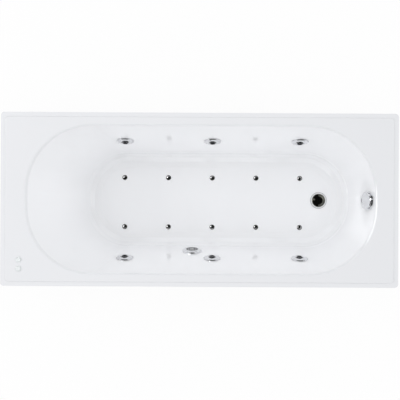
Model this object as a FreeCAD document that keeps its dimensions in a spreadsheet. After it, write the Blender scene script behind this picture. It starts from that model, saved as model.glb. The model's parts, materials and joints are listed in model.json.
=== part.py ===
import FreeCAD, Part
import math
import os

import Sketcher

# Jetted bath, 1600 x 700 mm, standing on its adjustable feet.
# +X runs to the foot end (waste), +Y to the rear long side, +Z up; z = 0 is the floor of the room.
# All lengths are in millimetres.

SIZES = {
    # moulded shell
    "rim_length": 1600,
    "rim_width": 700,
    "rim_height": 560,
    "rim_corner_radius": 14,
    "lip_drop": 40,
    "deck_margin": 18,
    "deck_step": 2.5,
    "shell_wall": 5,
    "basin_depth": 410,
    "opening_half_width": 299,
    "opening_head_reach": 697,
    "opening_foot_reach": 708,
    "opening_head_radius": 267,
    "opening_foot_radius": 273,
    "opening_edge": 6,
    "floor_half_width": 199,
    "floor_head_reach": 495,
    "floor_foot_reach": 664,
    "floor_corner_radius": 187,
    "floor_edge_radius": 64,
    # base board and welded frame of square tube
    "board_thickness": 18,
    "board_half_width": 75,
    "board_head_end": 430,
    "board_foot_end": 470,
    "bar_side": 30,
    "bar_wall": 2,
    "rail_offset": 190,
    "rail_head_end": 780,
    "rail_foot_end": 720,
    "crossbar_head": 400,
    "crossbar_middle": 40,
    "crossbar_foot": 360,
    # adjustable feet
    "foot_head": 762,
    "foot_middle": 130,
    "foot_foot": 690,
    "foot_rod_radius": 6,
    "foot_rod_top": 118,
    "foot_nut_radius": 11,
    "foot_nut_height": 9,
    "foot_pad_radius": 30,
    "foot_pad_height": 14,
    # tray for pump and blower
    "tray_far": 745,
    "tray_near": 585,
    "tray_front": 262,
    "tray_rear": 305,
    "tray_thickness": 4,
    # gaps
    "seat_gap": 0.3,
    "running_gap": 0.05,
    "glue_gap": 0.1,
    "hole_gap": 0.5,
    "seal_thickness": 1.5,
    # wall jets
    "jet_spacing": 375,
    "jet_middle_x": 55,
    "jet_depth": 193,
    "jet_barrel_radius": 24,
    "jet_barrel_bore": 21,
    "jet_barrel_depth": 46,
    "jet_flange_radius": 33,
    "jet_flange_thickness": 5,
    "jet_ring_radius": 31,
    "jet_ring_height": 4,
    "jet_tee_half": 38,
    "jet_tee_wall": 3,
    "jet_air_offset": 30,
    "jet_air_depth": 30,
    "bezel_radius": 36.5,
    "bezel_height": 8,
    "bezel_lift": 1,
    "bezel_skirt_depth": 14,
    "ball_radius": 16,
    "spout_radius": 12,
    "spout_reach": 12,
    "spout_bore": 8,
    # pipes
    "water_pipe_radius": 16,
    "water_pipe_wall": 2,
    "air_pipe_radius": 5,
    "air_pipe_wall": 1,
    "loop_x": 645,
    "loop_bend": 50,
    # suction
    "suction_x": 32,
    "suction_depth": 290,
    "suction_cover_radius": 44,
    "suction_cover_height": 11,
    "suction_barrel_radius": 30,
    "suction_barrel_depth": 48,
    "suction_pipe_radius": 25,
    "suction_pipe_wall": 2.5,
    "suction_hole_radius": 3,
    "suction_hole_circle": 20,
    # waste and overflow
    "waste_x": 547,
    "waste_flange_radius": 38,
    "waste_flange_height": 3,
    "waste_neck_radius": 24,
    "waste_neck_length": 28,
    "waste_body_radius": 28,
    "waste_body_length": 60,
    "plug_radius": 30,
    "plug_height": 8.5,
    "plug_stem_radius": 4,
    "plug_fin_thickness": 2.4,
    "trap_radius": 37,
    "trap_height": 62,
    "trap_outlet_radius": 20,
    "trap_outlet_reach": 135,
    "trap_collar_reach": 45,
    "overflow_depth": 65,
    "overflow_barrel_radius": 22,
    "overflow_setback": 28,
    "overflow_neck_length": 52,
    "rosette_radius": 37.5,
    "rosette_rise": 14,
    "rosette_tilt": 19,
    "knob_radius": 34,
    "knob_height": 8,
    "spindle_radius": 5,
    "cable_radius": 3,
    "cable_offset": 23,
    # floor air injectors
    "injector_first_x": 344,
    "injector_spacing": 201,
    "injector_rear_y": 101,
    "injector_front_y": 125,
    "injector_cap_radius": 11.5,
    "injector_cap_height": 4,
    "injector_stem_radius": 6.5,
    "injector_nut_radius": 12,
    "injector_nut_height": 8,
    "rail_pipe_radius": 10,
    "rail_pipe_z": 85,
    "header_x": 450,
    "header_radius": 16,
    # pump
    "pump_x": 660,
    "pump_front": 225,
    "pump_axis_rise": 84,
    "volute_radius": 82,
    "volute_width": 62,
    "casing_wall": 5,
    "impeller_radius": 62,
    "impeller_width": 16,
    "impeller_blades": 6,
    "motor_radius": 68,
    "motor_length": 180,
    "motor_wall": 4,
    "motor_fins": 18,
    "rotor_radius": 37,
    "shaft_radius": 8,
    "cowl_length": 42,
    "fan_blades": 8,
    # blower
    "blower_y": 215,
    "blower_radius": 80,
    "blower_height": 64,
    "blower_wall": 3,
    "blower_motor_radius": 46,
    "blower_motor_height": 62,
    "blower_blades": 12,
    # controls
    "button_inset": 74,
    "button_first_y": 244,
    "button_spacing": 36,
    "button_flange_radius": 12.5,
    "button_cap_radius": 9.5,
    "button_barrel_radius": 10.8,
    "button_travel": 3,
    "box_x": 750,
    "box_depth": 60,
    "box_half_length": 90,
    "box_height": 110,
    "box_drop": 45,
}


class Size:
    """A length: the number it has now and the sheet formula that gives it."""

    def __init__(self, number, formula=None):
        self.number = float(number)
        self.formula = formula or str(float(number))

    def __float__(self):
        return self.number

    def __add__(self, other):
        other = as_size(other)
        return Size(self.number + other.number, f"({self.formula} + {other.formula})")

    def __sub__(self, other):
        other = as_size(other)
        return Size(self.number - other.number, f"({self.formula} - {other.formula})")

    def __mul__(self, other):
        other = as_size(other)
        return Size(self.number * other.number, f"({self.formula} * {other.formula})")

    def __truediv__(self, other):
        other = as_size(other)
        return Size(self.number / other.number, f"({self.formula} / {other.formula})")

    def __neg__(self):
        return as_size(0) - self

    def __radd__(self, other):
        return as_size(other) + self

    def __rsub__(self, other):
        return as_size(other) - self

    def __rmul__(self, other):
        return as_size(other) * self


def as_size(value):
    return value if isinstance(value, Size) else Size(value)


class SizeSheet:
    """Hands out the driving dimensions by name."""

    def __getattr__(self, name):
        return Size(SIZES[name], f"Sizes.{name}")


size = SizeSheet()
doc = FreeCAD.newDocument("JettedBath")
sub_parts = []
seals = []
clamp_nuts = []


def vector(x, y, z):
    return FreeCAD.Vector(float(x), float(y), float(z))


def fill_sheet():
    sheet = doc.addObject("Spreadsheet::Sheet", "Sizes")
    for row, (name, value) in enumerate(SIZES.items(), start=1):
        sheet.set(f"A{row}", name)
        sheet.set(f"B{row}", str(value))
        sheet.setAlias(f"B{row}", name)
    doc.recompute()


def bind(thing, prop, value):
    """Set one property from a size, and keep it tied to the sheet."""
    value = as_size(value)
    if "Sizes." in value.formula:
        thing.setExpression(prop, value.formula)
    elif "." in prop:
        thing.setExpression(prop, value.formula)
    else:
        setattr(thing, prop, value.number)


def spot(x=0, y=0, z=0, axis=(0, 0, 1), angle=0):
    return FreeCAD.Placement(vector(x, y, z), FreeCAD.Rotation(FreeCAD.Vector(*axis), float(angle)))


def publish(thing, label, placement=None):
    """Name a sub-part, place it and list it for export."""
    thing.Label = label
    if placement is not None:
        thing.Placement = placement
    sub_parts.append(thing)
    return thing


# ---------------------------------------------------------------- sketch-based bodies

def new_body(name):
    return doc.addObject("PartDesign::Body", name)


def origin_plane(body, role):
    return [item for item in body.Origin.OriginFeatures if item.Role == role][0]


def new_sketch(body, role, lift=0):
    sketch = body.newObject("Sketcher::SketchObject", "Sketch")
    sketch.AttachmentSupport = [(origin_plane(body, role), "")]
    sketch.MapMode = "FlatFace"
    bind(sketch, "AttachmentOffset.Base.z", lift)
    return sketch


def pin_point(sketch, index, position, x, y):
    for kind, value in (("DistanceX", as_size(x)), ("DistanceY", as_size(y))):
        row = sketch.addConstraint(Sketcher.Constraint(kind, -1, 1, index, position, value.number))
        if "Sizes." in value.formula:
            sketch.setExpression(f"Constraints[{row}]", value.formula)


def polygon(body, role, corners, lift=0):
    """A closed outline of straight edges whose corners follow the sheet."""
    sketch = new_sketch(body, role, lift)
    count = len(corners)
    for index in range(count):
        start = corners[index]
        end = corners[(index + 1) % count]
        sketch.addGeometry(Part.LineSegment(vector(*start, 0), vector(*end, 0)), False)
    for index in range(count):
        sketch.addConstraint(Sketcher.Constraint("Coincident", index, 2, (index + 1) % count, 1))
    for index, (x, y) in enumerate(corners):
        pin_point(sketch, index, 1, x, y)
    return sketch


def circles(body, role, rounds, lift=0):
    """Circles given as (x, y, radius)."""
    sketch = new_sketch(body, role, lift)
    for index, (x, y, radius) in enumerate(rounds):
        radius = as_size(radius)
        sketch.addGeometry(Part.Circle(vector(x, y, 0), vector(0, 0, 1), radius.number), False)
        pin_point(sketch, index, 3, x, y)
        row = sketch.addConstraint(Sketcher.Constraint("Radius", index, radius.number))
        if "Sizes." in radius.formula:
            sketch.setExpression(f"Constraints[{row}]", radius.formula)
    return sketch


def revolve(body, corners):
    """Turn a half section, given as (radius, height) corners, about the body's own Z."""
    feature = body.newObject("PartDesign::Revolution", "Turned")
    sketch = polygon(body, "XZ_Plane", corners)
    feature.Profile = sketch
    feature.ReferenceAxis = (sketch, ["V_Axis"])
    feature.Angle = 360
    body.Tip = feature
    return feature


def groove(body, corners):
    feature = body.newObject("PartDesign::Groove", "Bored")
    sketch = polygon(body, "XZ_Plane", corners)
    feature.Profile = sketch
    feature.ReferenceAxis = (sketch, ["V_Axis"])
    feature.Angle = 360
    body.Tip = feature
    return feature


def pad(body, sketch, length):
    feature = body.newObject("PartDesign::Pad", "Pad")
    feature.Profile = sketch
    bind(feature, "Length", length)
    body.Tip = feature
    return feature


def pocket(body, sketch, depth):
    """Cut from the sketch plane against its normal."""
    feature = body.newObject("PartDesign::Pocket", "Pocket")
    feature.Profile = sketch
    bind(feature, "Length", depth)
    body.Tip = feature
    return feature


def polar(body, feature, count):
    """Repeat one feature about the body's Z axis."""
    pattern = body.newObject("PartDesign::PolarPattern", "Round")
    pattern.Originals = [feature]
    axis = [item for item in body.Origin.OriginFeatures if item.Role == "Z_Axis"][0]
    pattern.Axis = (axis, [""])
    pattern.Angle = 360
    pattern.Occurrences = int(count.number) if isinstance(count, Size) else count
    body.Tip = pattern
    return pattern


def turned(name, corners):
    body = new_body(name)
    revolve(body, corners)
    return body


def ring_section(inner, outer, low, high):
    return [(inner, low), (outer, low), (outer, high), (inner, high)]


# ---------------------------------------------------------------- primitives and booleans

def box(name, low, high):
    thing = doc.addObject("Part::Box", name)
    for prop, start, end in zip(("Length", "Width", "Height"), low, high):
        bind(thing, prop, as_size(end) - start)
    for axis, start in zip("xyz", low):
        bind(thing, f"Placement.Base.{axis}", start)
    return thing


def rod(name, radius, length, placement=None):
    thing = doc.addObject("Part::Cylinder", name)
    bind(thing, "Radius", radius)
    bind(thing, "Height", length)
    if placement is not None:
        thing.Placement = placement
    return thing


def joined(name, things):
    fused = doc.addObject("Part::MultiFuse", name)
    fused.Shapes = things
    return fused


def cut(name, base, tools):
    if len(tools) == 1:
        tool = tools[0]
    else:
        tool = doc.addObject("Part::Compound", name + "_tools")
        tool.Links = tools
    result = doc.addObject("Part::Cut", name)
    result.Base = base
    result.Tool = tool
    return result


def copies(name, master, placements):
    """Identical pieces: one linked solid for each placement."""
    links = []
    for index, placement in enumerate(placements):
        link = doc.addObject("App::Link", f"{name}_copy_{index + 1}")
        link.LinkedObject = master
        link.Placement = placement
        links.append(link)
    return links


def bundle(label, things):
    """Several separate solids kept as one node."""
    compound = doc.addObject("Part::Compound", label)
    compound.Links = things
    return publish(compound, label)


def solid_feature(name, shape):
    feature = doc.addObject("Part::Feature", name)
    feature.Shape = shape
    return feature


# ---------------------------------------------------------------- pipes

def bent_path(points, bend):
    """Straight runs joined by tangent arcs of one bend radius."""
    corners = [vector(*point) for point in points]
    edges = []
    start = corners[0]
    for before, corner, after in zip(corners, corners[1:], corners[2:]):
        back = (before - corner).normalize()
        ahead = (after - corner).normalize()
        turn = math.pi - back.getAngle(ahead)
        trim = float(bend) * math.tan(turn / 2)
        arc_start = corner + back * trim
        arc_end = corner + ahead * trim
        to_centre = (back + ahead).normalize()
        middle = corner + to_centre * (trim / math.sin(turn / 2) * (1 - math.cos(turn / 2)))
        edges.append(Part.LineSegment(start, arc_start).toShape())
        edges.append(Part.Arc(arc_start, middle, arc_end).toShape())
        start = arc_end
    edges.append(Part.LineSegment(start, corners[-1]).toShape())
    return Part.Wire(edges)


def tube_shape(points, outer, wall, bend):
    """A round tube along a bent path; a wall of 0 makes it solid."""
    path = bent_path(points, bend)
    start = vector(*points[0])
    heading = (vector(*points[1]) - start).normalize()
    rings = [Part.Wire([Part.Circle(start, heading, float(outer)).toShape()])]
    area = math.pi * float(outer) ** 2
    shape = path.makePipeShell(rings, True, False)
    if float(wall) > 0:
        inner = float(outer) - float(wall)
        bore = path.makePipeShell([Part.Wire([Part.Circle(start, heading, inner).toShape()])], True, False)
        shape = shape.cut(bore)
        area -= math.pi * inner ** 2
    expected = area * path.Length
    if abs(shape.Volume - expected) > 0.01 * expected:
        raise ValueError("a tube doesn't hold its section times its length")
    return shape


# ---------------------------------------------------------------- form of the basin

WALLS = {
    "side": ("floor_half_width", "opening_half_width"),
    "head": ("floor_head_reach", "opening_head_reach"),
    "foot": ("floor_foot_reach", "opening_foot_reach"),
}


def floor_z():
    return size.rim_height - size.basin_depth


def wall_run(side):
    """How far a wall leans out for each millimetre of height."""
    low, high = WALLS[side]
    return float((getattr(size, high) - getattr(size, low)) / size.basin_depth)


def wall_lean(side):
    """Angle of a wall from the vertical, in degrees."""
    return math.degrees(math.atan(wall_run(side)))


def wall_reach(side, height, grow=0.0):
    """Distance of a wall from the bath's middle at a height above the floor.

    grow moves the surface outward at right angles, for the outer skin.
    """
    radius = float(size.floor_edge_radius)
    lean = math.radians(wall_lean(side))
    corner = float(getattr(size, WALLS[side][0]))
    skin = radius + grow
    if height >= radius - skin * math.sin(lean):
        return corner + height * math.tan(lean) + grow / math.cos(lean)
    centre = corner + radius * math.tan(lean) - radius / math.cos(lean)
    return centre + math.sqrt(max(skin ** 2 - (radius - height) ** 2, 0.0))


def basin_outline(height, grow=0.0, spread=0.0):
    """The basin's outline at a height above its floor: four walls and four round corners."""
    share = height / float(size.basin_depth)
    half_width = wall_reach("side", height, grow) + spread
    straight = float(size.floor_half_width) + height * wall_run("side") + grow + spread
    inset = straight - half_width
    reach = {
        "head": -wall_reach("head", height, grow) - spread,
        "foot": wall_reach("foot", height, grow) + spread,
    }
    corner = {}
    for end, name in (("head", "opening_head_radius"), ("foot", "opening_foot_radius")):
        low = float(size.floor_corner_radius)
        corner[end] = low + share * (float(getattr(size, name)) - low) + grow + spread - inset
    level = float(floor_z()) + height
    edges = []
    turns = (("foot", 1, 90, 0), ("foot", -1, 0, -90), ("head", -1, -90, -180), ("head", 1, 180, 90))
    ends = []
    arcs = []
    for end, side, first, last in turns:
        radius = corner[end]
        inward = 1 if end == "head" else -1
        centre_x = reach[end] + inward * radius
        centre_y = side * (half_width - radius)
        points = []
        for angle in (first, (first + last) / 2, last):
            turn = math.radians(angle)
            points.append(vector(centre_x + radius * math.cos(turn),
                                 centre_y + radius * math.sin(turn), level))
        arcs.append(Part.Arc(*points).toShape())
        ends.append((points[0], points[2]))
    for index in range(4):
        edges.append(arcs[index])
        edges.append(Part.LineSegment(ends[index][1], ends[(index + 1) % 4][0]).toShape())
    return Part.Wire(edges)


def basin_solid(grow, top_edge):
    """Basin volume up to the deck, or its outer skin where grow is the wall."""
    radius = float(size.floor_edge_radius)
    depth = float(size.basin_depth)
    heights = [radius - (radius + grow) * math.cos(math.radians(turn)) for turn in (0, 22.5, 45, 67.5)]
    heights.append(radius)
    edge = float(size.opening_edge)
    outlines = [basin_outline(height, grow) for height in heights]
    if top_edge:
        outlines.append(basin_outline(depth - edge, grow))
        outlines.append(basin_outline(depth - edge * 0.3, grow, edge * 0.3))
        outlines.append(basin_outline(depth, grow, edge))
    else:
        outlines.append(basin_outline(depth - float(size.shell_wall), grow))
    return Part.makeLoft(outlines, True, True)


def rounded_block(half_length, half_width, radius, low, high):
    block = Part.makeBox(2 * half_length, 2 * half_width, high - low,
                         vector(-half_length, -half_width, low))
    upright = [edge for edge in block.Edges
               if abs(edge.Vertexes[0].Z - edge.Vertexes[-1].Z) > (high - low) / 2]
    return block.makeFillet(radius, upright)


def shell_form():
    """Deck with its stepped margin and turned-down lip, and the basin hanging from it."""
    top = float(size.rim_height)
    wall = float(size.shell_wall)
    half_length = float(size.rim_length) / 2
    half_width = float(size.rim_width) / 2
    radius = float(size.rim_corner_radius)
    step = float(size.deck_step)
    margin = float(size.deck_margin)
    low = top - float(size.lip_drop)
    deck = rounded_block(half_length, half_width, radius, low, top - step)
    raised = rounded_block(half_length - margin, half_width - margin, radius, top - 2 * step, top)
    under = rounded_block(half_length - wall, half_width - wall, radius - wall, low - 1, top - step - wall)
    raised_edges = [edge for edge in raised.Edges if min(v.Z for v in edge.Vertexes) > top - 0.1 * step]
    raised = raised.makeChamfer(0.6 * step, raised_edges)
    body = deck.cut(under).fuse([raised, basin_solid(wall, False)])
    return body.cut(basin_solid(0.0, True)).removeSplitter()


def side_wall_spot(x, depth, side):
    """Placement on a long wall: local Z points into the bath, square to the wall."""
    height = float(size.basin_depth) - float(depth)
    lean = wall_lean("side")
    y = side * wall_reach("side", height)
    return spot(x, y, float(floor_z()) + height, (1, 0, 0), side * (90 - lean))


def foot_wall_spot(depth):
    """Placement on the foot wall: local Z into the bath, local X up the wall."""
    height = float(size.basin_depth) - float(depth)
    lean = wall_lean("foot")
    return spot(wall_reach("foot", height), 0, float(floor_z()) + height, (0, 1, 0), lean - 90)


def jet_places():
    """Three jets on each long side; local +Y runs up the wall on both."""
    places = []
    for side, half_turn in ((1, 0), (-1, 180)):
        for step in (-1, 0, 1):
            x = float(size.jet_middle_x) + step * float(size.jet_spacing)
            place = side_wall_spot(x, size.jet_depth, side)
            places.append(place.multiply(spot(angle=half_turn)))
    return places


def injector_places(z):
    places = []
    for y in (size.injector_rear_y, -size.injector_front_y):
        for step in range(5):
            places.append(spot(step * size.injector_spacing - size.injector_first_x, y, z))
    return places


def button_places(z):
    x = size.button_inset - size.rim_length / 2
    first = -size.button_first_y
    return [spot(x, first, z), spot(x, first - size.button_spacing, z)]


def foot_places(z):
    places = []
    for x in (-size.foot_head, -size.foot_middle, size.foot_foot):
        for side in (1, -1):
            places.append(spot(x, side * size.rail_offset, z))
    return places


def hole_tools(name, radius, places, before, behind):
    """Cylinders that cut one kind of hole, from in front of a wall to behind it."""
    tools = []
    for place in places:
        tool = rod(name, radius, as_size(before) + behind)
        tool.Placement = place.multiply(spot(z=-float(behind)))
        tools.append(tool)
    return tools


def make_shell():
    form = solid_feature("shell_moulding", shell_form())
    deep = size.shell_wall * 4
    tools = hole_tools("jet_hole", size.jet_barrel_radius + size.hole_gap, jet_places(), deep, deep)
    tools += hole_tools("suction_hole", size.suction_barrel_radius + size.hole_gap,
                        [side_wall_spot(-size.suction_x, size.suction_depth, -1)], deep, deep)
    tools += hole_tools("overflow_hole", size.overflow_barrel_radius + size.hole_gap,
                        [foot_wall_spot(size.overflow_depth)], deep, deep)
    tools += hole_tools("waste_hole", size.waste_neck_radius + size.hole_gap,
                        [spot(size.waste_x, 0, floor_z())], deep, deep)
    tools += hole_tools("injector_hole", size.injector_stem_radius + size.hole_gap,
                        injector_places(floor_z()), deep, deep)
    tools += hole_tools("button_hole", size.button_barrel_radius + size.hole_gap,
                        button_places(size.rim_height), deep, deep)
    publish(cut("bath_shell", form, tools), "bath_shell")


# ---------------------------------------------------------------- base board, frame and feet

def board_low():
    return floor_z() - size.shell_wall - size.board_thickness


def rail_top():
    return board_low() - size.bar_side


def rail_low():
    return rail_top() - size.bar_side


def tray_top():
    return rail_top() + size.tray_thickness


def pump_axis_z():
    return tray_top() + size.pump_axis_rise


def make_board():
    board = box("base_board", (-size.board_head_end, -size.board_half_width, board_low()),
                (size.board_foot_end, size.board_half_width, board_low() + size.board_thickness))
    publish(board, "base_board")


def square_tube(name, low, high, along):
    """Square steel tube, open at both ends of the named axis."""
    outer = box(name + "_outer", low, high)
    inner_low = []
    inner_high = []
    for axis, start, end in zip("xyz", low, high):
        inset = -1 if axis == along else size.bar_wall
        inner_low.append(as_size(start) + inset)
        inner_high.append(as_size(end) - inset)
    return outer, box(name + "_inner", inner_low, inner_high)


def make_frame():
    half = size.bar_side / 2
    bars = []
    for side in (-1, 1):
        middle = side * size.rail_offset
        outer, inner = square_tube("rail", (-size.rail_head_end, middle - half, rail_low()),
                                   (size.rail_foot_end, middle + half, rail_top()), "x")
        holes = []
        for x in (-size.foot_head, -size.foot_middle, size.foot_foot):
            holes.append(rod("rod_hole", size.foot_rod_radius + size.hole_gap, size.bar_side + 2,
                             spot(x, middle, rail_low() - 1)))
        bars.append(cut("frame_rail", outer, [inner] + holes))
    for x in (-size.crossbar_head, -size.crossbar_middle, size.crossbar_foot):
        reach = size.rail_offset + half
        outer, inner = square_tube("crossbar", (x - half, -reach, rail_top()),
                                   (x + half, reach, board_low()), "y")
        bars.append(cut("crossbar", outer, [inner]))
    bundle("base_frame", bars)


def make_tray():
    low = (-size.tray_far, -size.tray_front, rail_top())
    high = (-size.tray_near, size.tray_rear, tray_top())
    publish(box("equipment_tray", low, high), "equipment_tray")


def hexagon_nut(name, bore, across, height):
    """Hexagon nut standing on z = 0; across is the radius to its corners."""
    prism = doc.addObject("Part::Prism", name + "_hexagon")
    prism.Polygon = 6
    bind(prism, "Circumradius", across)
    bind(prism, "Height", height)
    return cut(name, prism, [rod(name + "_bore", bore, as_size(height) + 2, spot(z=-1))])


def make_feet():
    recess = size.foot_pad_height / 2
    master = turned("foot_rod", [(0, 0), (size.foot_rod_radius - 1, 0), (size.foot_rod_radius, 1),
                                 (size.foot_rod_radius, size.foot_rod_top - 1 - recess),
                                 (size.foot_rod_radius - 1, size.foot_rod_top - recess),
                                 (0, size.foot_rod_top - recess)])
    bundle("foot_rods", copies("foot_rod", master, foot_places(recess)))
    top = size.foot_pad_height
    hub = size.foot_rod_radius + size.seat_gap
    pad_body = turned("foot_pad", [(0, 0), (size.foot_pad_radius - 2, 0), (size.foot_pad_radius, 2),
                                   (size.foot_pad_radius, 5), (hub + 6, top - 3), (hub + 4, top),
                                   (hub, top), (hub, recess), (0, recess)])
    bundle("foot_pads", copies("foot_pad", pad_body, foot_places(0)))
    nut = hexagon_nut("foot_nut", size.foot_rod_radius + size.glue_gap, size.foot_nut_radius,
                      size.foot_nut_height)
    places = foot_places(rail_top()) + foot_places(rail_low() - size.foot_nut_height)
    bundle("foot_nuts", copies("foot_nut", nut, places))


# ---------------------------------------------------------------- wall jets

def tee_bore():
    return size.water_pipe_radius + size.glue_gap


def make_jet_fixtures():
    """Tee bodies behind the wall, their gaskets and the clamping rings in front."""
    wall = size.shell_wall
    seal = size.seal_thickness
    flange_front = -wall - seal
    flange_back = flange_front - size.jet_flange_thickness
    barrel = turned("jet_barrel", [
        (0, -size.jet_barrel_depth), (size.jet_barrel_radius, -size.jet_barrel_depth),
        (size.jet_barrel_radius, flange_back), (size.jet_flange_radius, flange_back),
        (size.jet_flange_radius, flange_front), (size.jet_barrel_radius, flange_front),
        (size.jet_barrel_radius, size.jet_ring_height), (0, size.jet_ring_height)])
    across = spot(-size.jet_tee_half, 0, -size.jet_barrel_depth, (0, 1, 0), 90)
    tee = rod("jet_water_tee", tee_bore() + size.jet_tee_wall, 2 * size.jet_tee_half, across)
    air_across = spot(-size.jet_tee_half, size.jet_air_offset, -size.jet_air_depth, (0, 1, 0), 90)
    air_bore = size.air_pipe_radius + size.glue_gap
    air = rod("jet_air_tee", air_bore + 2, 2 * size.jet_tee_half, air_across)
    blank = joined("jet_blank", [barrel, tee, air])
    bores = [
        rod("jet_bore", size.jet_barrel_bore, size.jet_barrel_depth + size.jet_ring_height + 1,
            spot(z=-size.jet_barrel_depth)),
        rod("jet_water_bore", tee_bore(), 2 * size.jet_tee_half + 2,
            spot(-size.jet_tee_half - 1, 0, -size.jet_barrel_depth, (0, 1, 0), 90)),
        rod("jet_air_bore", air_bore, 2 * size.jet_tee_half + 2,
            spot(-size.jet_tee_half - 1, size.jet_air_offset, -size.jet_air_depth, (0, 1, 0), 90)),
        rod("jet_air_port", 1.5, size.jet_air_offset, spot(0, size.jet_air_offset, -size.jet_air_depth,
                                                          (1, 0, 0), 90)),
    ]
    bundle("jet_bodies", copies("jet_body", cut("jet_body", blank, bores), jet_places()))
    gasket = turned("jet_gasket", ring_section(size.jet_barrel_radius + size.glue_gap,
                                               size.jet_flange_radius, flange_front, -wall))
    seals.extend(copies("jet_gasket", gasket, jet_places()))
    ring = turned("jet_ring", ring_section(size.jet_barrel_radius + size.glue_gap,
                                           size.jet_ring_radius, size.glue_gap, size.jet_ring_height))
    bundle("jet_rings", copies("jet_ring", ring, jet_places()))


def round_points(radius, first, last, steps):
    """Corners along a round section about the origin; angles in degrees above the radius axis."""
    points = []
    for step in range(steps + 1):
        turn = math.radians(first + (last - first) * step / steps)
        points.append((radius * math.cos(turn), radius * math.sin(turn)))
    return points


def make_bezel(label, place):
    """Turning cover ring with the round seat that holds the nozzle's ball."""
    skirt = size.jet_barrel_bore - size.seat_gap
    under = size.jet_ring_height + size.seat_gap * 2
    edge = size.bezel_radius
    top = size.bezel_height
    seat = round_points(size.ball_radius + size.seat_gap + 0.1, 27, -48, 9)
    body = turned(label, seat + [
        (skirt - 3, -size.bezel_skirt_depth), (skirt, -size.bezel_skirt_depth),
        (skirt, under), (size.jet_ring_radius + 1.5, under), (size.jet_ring_radius + 1.5, size.bezel_lift),
        (edge, size.bezel_lift), (edge, size.bezel_lift + 1.5), (edge - 2.5, top - 2.5),
        (edge - 7, top - 0.7), (edge - 12, top), (edge - 18, top)])
    publish(body, label, place)


def make_nozzle(label, place):
    """Ball with a short spout, bored right through."""
    ball = round_points(size.ball_radius, -32, 41, 9)
    back = -size.ball_radius * math.sin(math.radians(32))
    body = turned(label, ball + [
        (size.spout_radius - 1.5, size.spout_reach),
        (size.spout_bore, size.spout_reach), (size.spout_bore, 6), (size.spout_bore + 3, 0),
        (size.spout_bore + 3, back)])
    publish(body, label, place)


def make_jets():
    make_jet_fixtures()
    for number, place in enumerate(jet_places(), start=1):
        make_bezel(f"jet_bezel_{number}", place)
        make_nozzle(f"jet_nozzle_{number}", place)


def behind_wall(place, depth, up=0):
    """World point behind a wall fitting, and up its wall."""
    return place.multVec(vector(0, up, -float(depth)))


def make_jet_pipes():
    """Straight water and air pipes from jet to jet, plugs at the foot end, air intakes at the head."""
    pipes = []
    ends = []
    places = jet_places()
    overlap = size.jet_tee_half - 20
    for row in (places[:3], places[3:]):
        for first, second in zip(row, row[1:]):
            start = behind_wall(first, size.jet_barrel_depth)
            length = second.Base.x - start.x - 2 * float(overlap)
            along = spot(start.x + float(overlap), start.y, start.z, (0, 1, 0), 90)
            outer = rod("water_pipe_outer", size.water_pipe_radius, size.jet_spacing - 2 * overlap, along)
            inner = rod("water_pipe_bore", size.water_pipe_radius - size.water_pipe_wall,
                        size.jet_spacing - 2 * overlap, along)
            pipes.append(cut("water_pipe", outer, [inner]))
            start = behind_wall(first, size.jet_air_depth, size.jet_air_offset)
            pipes.append(solid_feature("air_pipe", tube_shape(
                [(start.x + float(overlap), start.y, start.z),
                 (start.x + float(overlap) + length, start.y, start.z)],
                size.air_pipe_radius, size.air_pipe_wall, 1)))
        last = behind_wall(row[2], size.jet_barrel_depth)
        end = last.x + float(size.jet_tee_half)
        plug = turned("pipe_plug", [(0, -20), (size.water_pipe_radius, -20), (size.water_pipe_radius, 0),
                                    (tee_bore() + size.jet_tee_wall, 0),
                                    (tee_bore() + size.jet_tee_wall, 5), (0, 5)])
        plug.Placement = spot(end, last.y, last.z, (0, 1, 0), 90)
        ends.append(plug)
        last = behind_wall(row[2], size.jet_air_depth, size.jet_air_offset)
        plug = turned("air_plug", [(0, -15), (size.air_pipe_radius, -15), (size.air_pipe_radius, 0),
                                   (size.air_pipe_radius + 2, 0), (size.air_pipe_radius + 2, 3), (0, 3)])
        plug.Placement = spot(end, last.y, last.z, (0, 1, 0), 90)
        ends.append(plug)
        first = behind_wall(row[0], size.jet_air_depth, size.jet_air_offset)
        intake = turned("air_intake", [(0, -18), (size.air_pipe_radius, -18), (size.air_pipe_radius, 0),
                                       (11, 0), (13, 3), (13, 26), (11, 29), (0, 29)])
        groove(intake, [(0, -19), (size.air_pipe_radius - size.air_pipe_wall, -19),
                        (size.air_pipe_radius - size.air_pipe_wall, 2), (9, 4), (9, 26), (0, 26)])
        intake.Placement = spot(first.x - float(size.jet_tee_half), first.y, first.z, (0, 1, 0), -90)
        ends.append(intake)
    bundle("jet_pipes", pipes)
    bundle("pipe_ends", ends)


# ---------------------------------------------------------------- suction and pump

def suction_place():
    return side_wall_spot(-size.suction_x, size.suction_depth, -1)


def pump_place():
    """Local Z runs along the motor to the rear; local -Y is up."""
    return spot(-size.pump_x, -size.pump_front, pump_axis_z(), (1, 0, 0), -90)


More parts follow.
